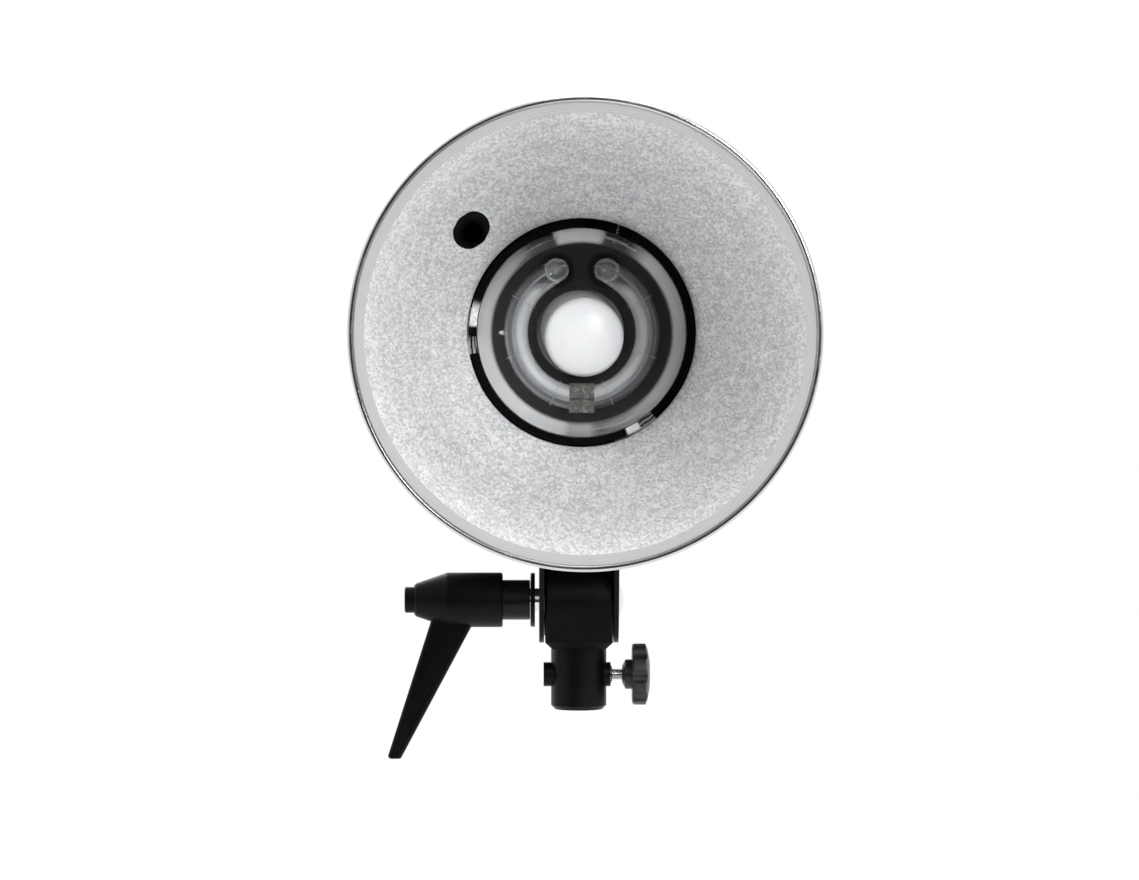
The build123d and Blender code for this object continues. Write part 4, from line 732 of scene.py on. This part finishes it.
# Which finish each piece has
pieceFinish = {
    "powderCoat": ["stand_socket", "tilt_bracket", "flange_washer", "front_casting"],
    "mountBlack": ["umbrella_tube", "reflector_collar"],
    "mountPaintedGlints": ["mount_ring"],
    "blackSteel": ["lever_insert", "housing_screws", "bracket_screws"],
    "knobPlastic": ["clamp_knob", "umbrella_knob"],
    "blackMoulding": ["clamp_lever", "lever_button", "power_dial", "lamp_dial",
                      "fan_frame", "fan_rotor", "socket_carrier", "trigger_transformer", "tube_sockets"],
    "housingPaint": ["housing_upper", "housing_lower"],
    "panelPlastic": ["rear_panel"],
    "satinSteel": ["clamp_screw", "umbrella_screw", "socket_insert", "tube_electrodes",
                   "lamp_base", "inlet_pins", "sync_jack"],
    "darkNickel": ["trigger_wire"],
    "smokyPlastic": ["tube_clip"],
    "brass": ["clamp_pad", "umbrella_pad"],
    "fibre": ["friction_washers"],
    "scoredAndShadedChrome": ["reflector_lugs"],
    "turnedAluminium": ["collar_rivets"],
    "ceramic": ["lamp_socket"],
    "laminate": ["power_board", "control_board"],
    "sleeve": ["capacitors"],
    "zincSheet": ["chassis_plate"],
    "greyButton": ["sound_button", "sensor_button", "lamp_button"],
    "redButton": ["test_button"],
    "glossBlack": ["power_switch", "mains_inlet", "fuse_cap"],
    "redLens": ["slave_sensor"],
    "greenLens": ["indicator_lamps"],
    "plateEnamel": ["front_plate"],
    "pebbledAluminium": ["reflector_bowl"],
    "chrome": ["pivot_bolt"],
    "domeGlass": ["glass_dome"],
    "quartz": ["flash_tube"],
    "frostedGlass": ["modelling_lamp"],
}


def paintNode(node, material):
    holder = cadNodes[node]
    if not holder.material_slots:
        holder.data.materials.append(material)
    for slot in holder.material_slots:
        slot.material = material


for finish, members in pieceFinish.items():
    for node in members:
        paintNode(node, surfaces[finish])
print("finishes given to", sum(len(members) for members in pieceFinish.values()), "pieces")


# New pieces. What is round is a profile of (radius, station) points turned about a line along X, Y or Z.
sameSpot = 0.000002     # points closer than this are one point, m
turningLines = {
    "X": (Vector((1, 0, 0)), Vector((0, 0, 1))),
    "Y": (Vector((0, 1, 0)), Vector((1, 0, 0))),
    "Z": (Vector((0, 0, 1)), Vector((1, 0, 0))),
}


def setMode(mode):
    bpy.ops.object.mode_set(mode=mode)


def selectMesh():
    bpy.ops.mesh.select_all(action="SELECT")


def closeMesh(crease):
    # Turns every face outwards, and shades smooth what bends less than the crease's degrees
    selectMesh()
    bpy.ops.mesh.normals_make_consistent(inside=False)
    setMode("OBJECT")
    bpy.ops.object.transform_apply()
    bpy.ops.object.shade_smooth_by_angle(angle=math.radians(crease))


def turnPiece(name, points, steps, crease, along="Y", centre=(0, 0, flashAxis), closed=True):
    # The line's direction, and the direction from it in which the profile is drawn
    axis, outward = turningLines[along]
    path = [Vector(centre) + axis * station + outward * radius for radius, station in points]
    if closed:
        path.append(path[0])
    selectNothing()
    bpy.ops.mesh.primitive_plane_add(size=0.001, location=path[0])
    piece = bpy.context.active_object
    piece.name = name
    setMode("EDIT")
    bpy.ops.mesh.merge(type="CENTER")
    for last, point in zip(path, path[1:]):
        bpy.ops.mesh.extrude_vertices_move(TRANSFORM_OT_translate={"value": point - last})
    selectMesh()
    bpy.ops.mesh.spin(steps=steps, angle=2 * math.pi, center=centre, axis=axis)
    selectMesh()
    bpy.ops.mesh.remove_doubles(threshold=sameSpot)
    closeMesh(crease)
    return piece


def finishPiece(piece, surface, slot, body, *nodes):
    # Its material, the slot (not used), the body it moves with, and the nodes it stands for
    piece.data.materials.clear()
    piece.data.materials.append(surfaces[surface])
    if nodes:
        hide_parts(*nodes)
    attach(piece, body)
    print(piece.name, "built:", len(piece.data.polygons), "faces")


def cutWith(piece, cutter):
    # Takes the cutter's shape out of the piece, and the cutter goes
    selectNothing()
    piece.select_set(True)
    bpy.context.view_layer.objects.active = piece
    cut = piece.modifiers.new("cut", "BOOLEAN")
    cut.object = cutter
    cut.solver = "EXACT"
    bpy.ops.object.modifier_apply(modifier=cut.name)
    bpy.data.objects.remove(cutter)


def joinPieces(pieces, name):
    selectNothing()
    for piece in pieces:
        piece.select_set(True)
    bpy.context.view_layer.objects.active = pieces[0]
    bpy.ops.object.join()
    joined = bpy.context.active_object
    joined.name = name
    return joined


# Reflector bowl: spun sheet with a flat ring and a rolled bead, punched for the umbrella's shaft
bowlShape = {
    "throat": (0.0463, -0.095),     # middle of the sheet at the throat: radius, station
    "ring": (0.084, -0.19825),      # and at the flat ring's inner edge
    "belly": 0.0026,                # how far the wall stands out from straight
    "sheet": 0.0008,
    "beadRadius": 0.00125,
    "beadReach": 2.2,               # the bead's polish reaches this many radii in from the edge
    "outerRadius": 0.09,
    "rimStation": -0.2,
    "neckRear": -0.086,
    "wallSteps": 14,
    "beadSteps": 20,
    "turnSteps": 256,
    "punchLength": 0.09,
    "punchStation": -0.15,
    # overlapping punches: right, rise and radius
    "holes": [(-0.04238, 0.04196, 0.00575), (-0.04522, 0.03888, 0.00575), (-0.0438, 0.04042, 0.0063)],
}


def evenSteps(first, last, steps):
    return [first + (last - first) * index / steps for index in range(steps + 1)]


def pointsRound(centre, radius, angles):
    return [(centre[0] + radius * math.cos(angle), centre[1] + radius * math.sin(angle)) for angle in angles]


def bulgingArc(start, end, belly, steps):
    # The arc from start to end that stands out by belly: its radius, centre and angles
    chord = Vector(end) - Vector(start)
    outward = Vector((-chord.y, chord.x)).normalized()
    radius = ((chord.length / 2) ** 2 + belly ** 2) / (2 * belly)
    centre = Vector(start) + chord / 2 + outward * (belly - radius)
    first = math.atan2(start[1] - centre.y, start[0] - centre.x)
    last = math.atan2(end[1] - centre.y, end[0] - centre.x)
    return radius, centre, evenSteps(first, last, steps)


def buildBowl(shape):
    half = shape["sheet"] / 2
    radius, centre, angles = bulgingArc(shape["throat"], shape["ring"], shape["belly"], shape["wallSteps"])
    inside = pointsRound(centre, radius - half, angles)
    outside = pointsRound(centre, radius + half, angles)
    bead = shape["beadRadius"]
    beadCentre = (shape["outerRadius"] - bead, shape["rimStation"] + bead)
    frontRise = math.asin((shape["ring"][1] - half - beadCentre[1]) / bead)
    backRise = math.asin((shape["ring"][1] + half - beadCentre[1]) / bead)
    beadAngles = evenSteps(math.pi - frontRise, 3 * math.pi - backRise, shape["beadSteps"])
    rolled = pointsRound(beadCentre, bead, beadAngles)
    neck = [(shape["throat"][0] + half, shape["neckRear"]), (shape["throat"][0] - half, shape["neckRear"])]
    profile = inside + rolled + outside[::-1] + neck
    bowl = turnPiece("reflectorBowl", profile, shape["turnSteps"], crease=50)
    for right, rise, holeRadius in shape["holes"]:
        selectNothing()
        bpy.ops.mesh.primitive_cylinder_add(
            vertices=96,
            radius=holeRadius,
            depth=shape["punchLength"],
            location=(right, shape["punchStation"], flashAxis + rise),
            rotation=(math.pi / 2, 0, 0),
        )
        cutWith(bowl, bpy.context.active_object)
    pebbled, turned, polished, spun = range(4)
    for finish in ("pebbledAluminium", "turnedRing", "polishedBead", "spunAluminium"):
        bowl.data.materials.append(surfaces[finish])
    for face in bowl.data.polygons:
        rise = face.center.z - flashAxis
        distance = math.hypot(face.center.x, rise)
        facesOut = face.normal.x * face.center.x + face.normal.z * rise >= 0
        if distance > shape["outerRadius"] - shape["beadReach"] * bead:
            face.material_index = polished
        elif distance > shape["ring"][0] - half:
            face.material_index = turned if face.normal.y < 0 else spun
        else:
            face.material_index = spun if facesOut else pebbled
    bpy.ops.object.shade_smooth_by_angle(angle=math.radians(35))
    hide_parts("reflector_bowl")
    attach(bowl, "reflector")
    print("reflector bowl built:", len(bowl.data.polygons), "faces")


buildBowl(bowlShape)


# Stopper in the rear end of the umbrella holder's tube
stopperShape = {
    "right": -0.0438009,
    "rise": 0.0404183,
    "radius": 0.00405,
    "front": 0.1375,
    "rear": 0.1438,
    "edge": 0.0007,
    "dish": 0.0008,
}


def buildStopper(shape):
    radius, front, rear, edge = shape["radius"], shape["front"], shape["rear"], shape["edge"]
    dish = rear - shape["dish"]
    points = [(0, front), (radius - edge, front), (radius, front + edge), (radius, rear - edge),
              (radius - edge, rear), (radius * 0.55, rear), (radius * 0.4, dish), (0, dish)]
    centre = (shape["right"], 0, flashAxis + shape["rise"])
    stopper = turnPiece("umbrellaStopper", points, steps=48, crease=35, centre=centre, closed=False)
    finishPiece(stopper, "blackMoulding", "black_moulding", "flash_head")


buildStopper(stopperShape)


# Thumb screws with a real thread: clamp screw M5, umbrella screw M4
threadShapes = [
    dict(name="clampScrew", node="clamp_screw", body="clamp_knob", first=0.01015, last=0.0253,
         centre=(0, 0, 0.0146), radius=0.0024, pitch=0.0008, depth=0.00042),
    dict(name="umbrellaScrew", node="umbrella_screw", body="umbrella_knob", first=-0.068, last=-0.04985,
         centre=(0, -0.066, 0.1994183), radius=0.002, pitch=0.0007, depth=0.00036),
]


def windAlongX(piece, pitch, turns, steps=28):
    # Winds an outline into a thread or a coil
    wind = piece.modifiers.new("wind", "SCREW")
    wind.axis = "X"
    wind.screw_offset = pitch
    wind.iterations = turns
    wind.steps = steps
    wind.render_steps = steps
    bpy.ops.object.modifier_apply(modifier=wind.name)
    bpy.ops.object.transform_apply()
    setMode("EDIT")
    selectMesh()


def buildThread(shape):
    # One pitch of the thread's flanks, wound along X, then cut square at both ends
    pitch, crest = shape["pitch"], shape["radius"]
    root = crest - shape["depth"]
    # radius, and station as a part of the pitch
    profile = [(root, 0), (crest, 0.4), (crest, 0.55), (root, 0.92), (root, 1.0)]
    turns = math.ceil((shape["last"] - shape["first"]) / pitch) + 2
    start = Vector(shape["centre"]) + Vector((shape["first"] - pitch, 0, 0))
    selectNothing()
    bpy.ops.mesh.primitive_plane_add(size=0.0001, location=start)
    rod = bpy.context.active_object
    rod.name = shape["name"]
    setMode("EDIT")
    bpy.ops.mesh.merge(type="CENTER")
    bpy.ops.transform.translate(value=(0, 0, root))
    for last, point in zip(profile, profile[1:]):
        step = ((point[1] - last[1]) * pitch, 0, point[0] - last[0])
        bpy.ops.mesh.extrude_vertices_move(TRANSFORM_OT_translate={"value": step})
    setMode("OBJECT")
    windAlongX(rod, pitch, turns)
    bpy.ops.mesh.remove_doubles(threshold=sameSpot)
    for place, keepInner in ((shape["first"], False), (shape["last"], True)):
        selectMesh()
        bpy.ops.mesh.bisect(
            plane_co=(place, shape["centre"][1], shape["centre"][2]),
            plane_no=(1, 0, 0),
            use_fill=True,
            clear_inner=not keepInner,
            clear_outer=keepInner,
        )
    closeMesh(crease=25)
    finishPiece(rod, "satinSteel", "bright_steel", shape["body"], shape["node"])


springShape = {
    "middle": (-0.06765, 0, 0.046),     # of the coil's axis at the button's end
    "far": (-0.05935, 0, 0.046),        # the coil rests here against the hub
    "radius": 0.0048,
    "wire": 0.0004,
    "pitch": 0.00158,
    "turns": 5,
    "pressed": 0.655,                   # share of its length that is left with the button in
}


def buildSpring(shape):
    # A coil of round wire behind the lever's button, which the button shortens when pressed; it is built here
    # at its full length
    selectNothing()
    bpy.ops.mesh.primitive_circle_add(
        vertices=10,
        radius=shape["wire"],
        location=shape["middle"],
        rotation=(math.pi / 2, 0, 0),
    )
    coil = bpy.context.active_object
    coil.name = "leverSpring"
    bpy.ops.object.transform_apply(location=False)
    setMode("EDIT")
    selectMesh()
    bpy.ops.transform.translate(value=(0, 0, shape["radius"]))
    setMode("OBJECT")
    windAlongX(coil, shape["pitch"], shape["turns"])
    bpy.ops.mesh.fill_holes(sides=0)
    closeMesh(crease=60)
    finishPiece(coil, "satinSteel", "bright_steel", "clamp_lever", "lever_spring")
    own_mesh(coil)


buildSpring(springShape)


for shape in threadShapes:
    buildThread(shape)


# Cross-head screws of the case and of the bracket. Head and shank are radii.
caseCorners = [(-0.048, 0.111), (0.048, 0.111), (0.048, 0.207)]     # right and height
screwShapes = [
    dict(name="frontCaseScrews", node="housing_screws", head=0.0034, height=0.002, shank=0.0019, length=0.025,
         turn=(math.pi / 2, 0, 0), places=[(x, -0.070, z) for x, z in caseCorners]),
    dict(name="rearCaseScrews", node="housing_screws", head=0.0034, height=0.002, shank=0.0019, length=0.009,
         turn=(-math.pi / 2, 0, 0), places=[(x, 0.143, z) for x, z in caseCorners]),
    dict(name="bracketScrews", node="bracket_screws", head=0.0036, height=0.0024, shank=0.002, length=0.009,
         turn=(math.pi, 0, 0), places=[(x, y, 0.098) for x in (-0.0095, 0.0095) for y in (-0.026, 0.026)]),
]


def crossHeadScrew(head, height, shank, length):
    # Stands on the underside of its head at the origin, head up
    domed = [(0, 1), (0.5, 0.98), (0.8, 0.8), (0.97, 0.45), (1, 0.3), (1, 0)]
    points = [(head * across, height * up) for across, up in domed]
    points += [(shank, 0), (shank, -length + shank * 0.4), (shank * 0.6, -length), (0, -length)]
    screw = turnPiece("screw", points, steps=40, crease=35, along="Z", centre=(0, 0, 0), closed=False)
    for quarter in (0, math.pi / 2):
        selectNothing()
        bpy.ops.mesh.primitive_cube_add(size=1, location=(0, 0, height))
        bar = bpy.context.active_object
        bar.dimensions = (head * 1.15, head * 0.26, height * 1.3)
        bar.rotation_euler = (0, 0, quarter)
        bpy.ops.object.transform_apply()
        setMode("EDIT")
        bpy.ops.mesh.select_all(action="DESELECT")
        setMode("OBJECT")
        for vertex in bar.data.vertices:
            vertex.select = vertex.co.z < height
        setMode("EDIT")
        bpy.ops.transform.resize(value=(0.55, 0.55, 1), center_override=(0, 0, height))
        setMode("OBJECT")
        cutWith(screw, bar)
    bpy.ops.object.shade_smooth_by_angle(angle=math.radians(35))
    return screw


def buildScrews(shape):
    pattern = crossHeadScrew(shape["head"], shape["height"], shape["shank"], shape["length"])
    copies = []
    for place in shape["places"]:
        copy = pattern.copy()
        copy.data = pattern.data.copy()
        bpy.context.scene.collection.objects.link(copy)
        copy.rotation_euler = shape["turn"]
        copy.location = place
        copies.append(copy)
    bpy.data.objects.remove(pattern)
    screws = joinPieces(copies, shape["name"])
    bpy.ops.object.transform_apply()
    finishPiece(screws, "blackSteel", "black_steel", "flash_head", shape["node"])


for shape in screwShapes:
    buildScrews(shape)


# Printed marks on the rear panel: ticks and plain numbers round the dials, ON and OFF beside the switch
markLook = {
    "face": 0.143,          # station of the panel's face
    "thick": 0.00012,
    "dials": [(-0.027, 0.185), (0.027, 0.185)],
    "tickInner": 0.0142,
    "tickOuter": 0.0157,
    "tickWidth": 0.0004,
    "tickStep": 35,
    "dialRange": 140,
    "numberRadius": 0.0176,
    "numberHeight": 0.0026,
    "words": [("ON", 0.034, 0.1405), ("OFF", 0.034, 0.1110)],
    "wordHeight": 0.0032,
}


def markText(words, right, height, size, look):
    selectNothing()
    bpy.ops.object.text_add(location=(right, look["face"], height), rotation=(math.pi / 2, 0, math.pi))
    mark = bpy.context.active_object
    mark.data.body = words
    mark.data.size = size
    mark.data.align_x = "CENTER"
    mark.data.align_y = "CENTER"
    mark.data.extrude = look["thick"]
    mark.data.resolution_u = 4
    bpy.ops.object.convert(target="MESH")
    bpy.ops.object.transform_apply()
    return bpy.context.active_object


def buildMarks(look):
    marks = []
    reach = look["dialRange"]
    for right, height in look["dials"]:
        for degrees in range(-reach, reach + 1, look["tickStep"]):
            # Degrees run clockwise for someone who faces the panel, whose right is -X
            angle = math.radians(degrees)
            middle = (look["tickInner"] + look["tickOuter"]) / 2
            selectNothing()
            bpy.ops.mesh.primitive_cube_add(
                size=1,
                location=(right - middle * math.sin(angle), look["face"], height + middle * math.cos(angle)),
                rotation=(0, -angle, 0),
            )
            tick = bpy.context.active_object
            tick.scale = (look["tickWidth"], 2 * look["thick"], look["tickOuter"] - look["tickInner"])
            bpy.ops.object.transform_apply()
            marks.append(tick)
            if degrees % (2 * look["tickStep"]) == 0:
                number = str((degrees + reach) // (2 * look["tickStep"]) + 1)
                across = right - look["numberRadius"] * math.sin(angle)
                up = height + look["numberRadius"] * math.cos(angle)
                marks.append(markText(number, across, up, look["numberHeight"], look))
    for words, right, height in look["words"]:
        marks.append(markText(words, right, height, look["wordHeight"], look))
    finishPiece(joinPieces(marks, "panelMarks"), "markWhite", "ceramic", "flash_head")


buildMarks(markLook)
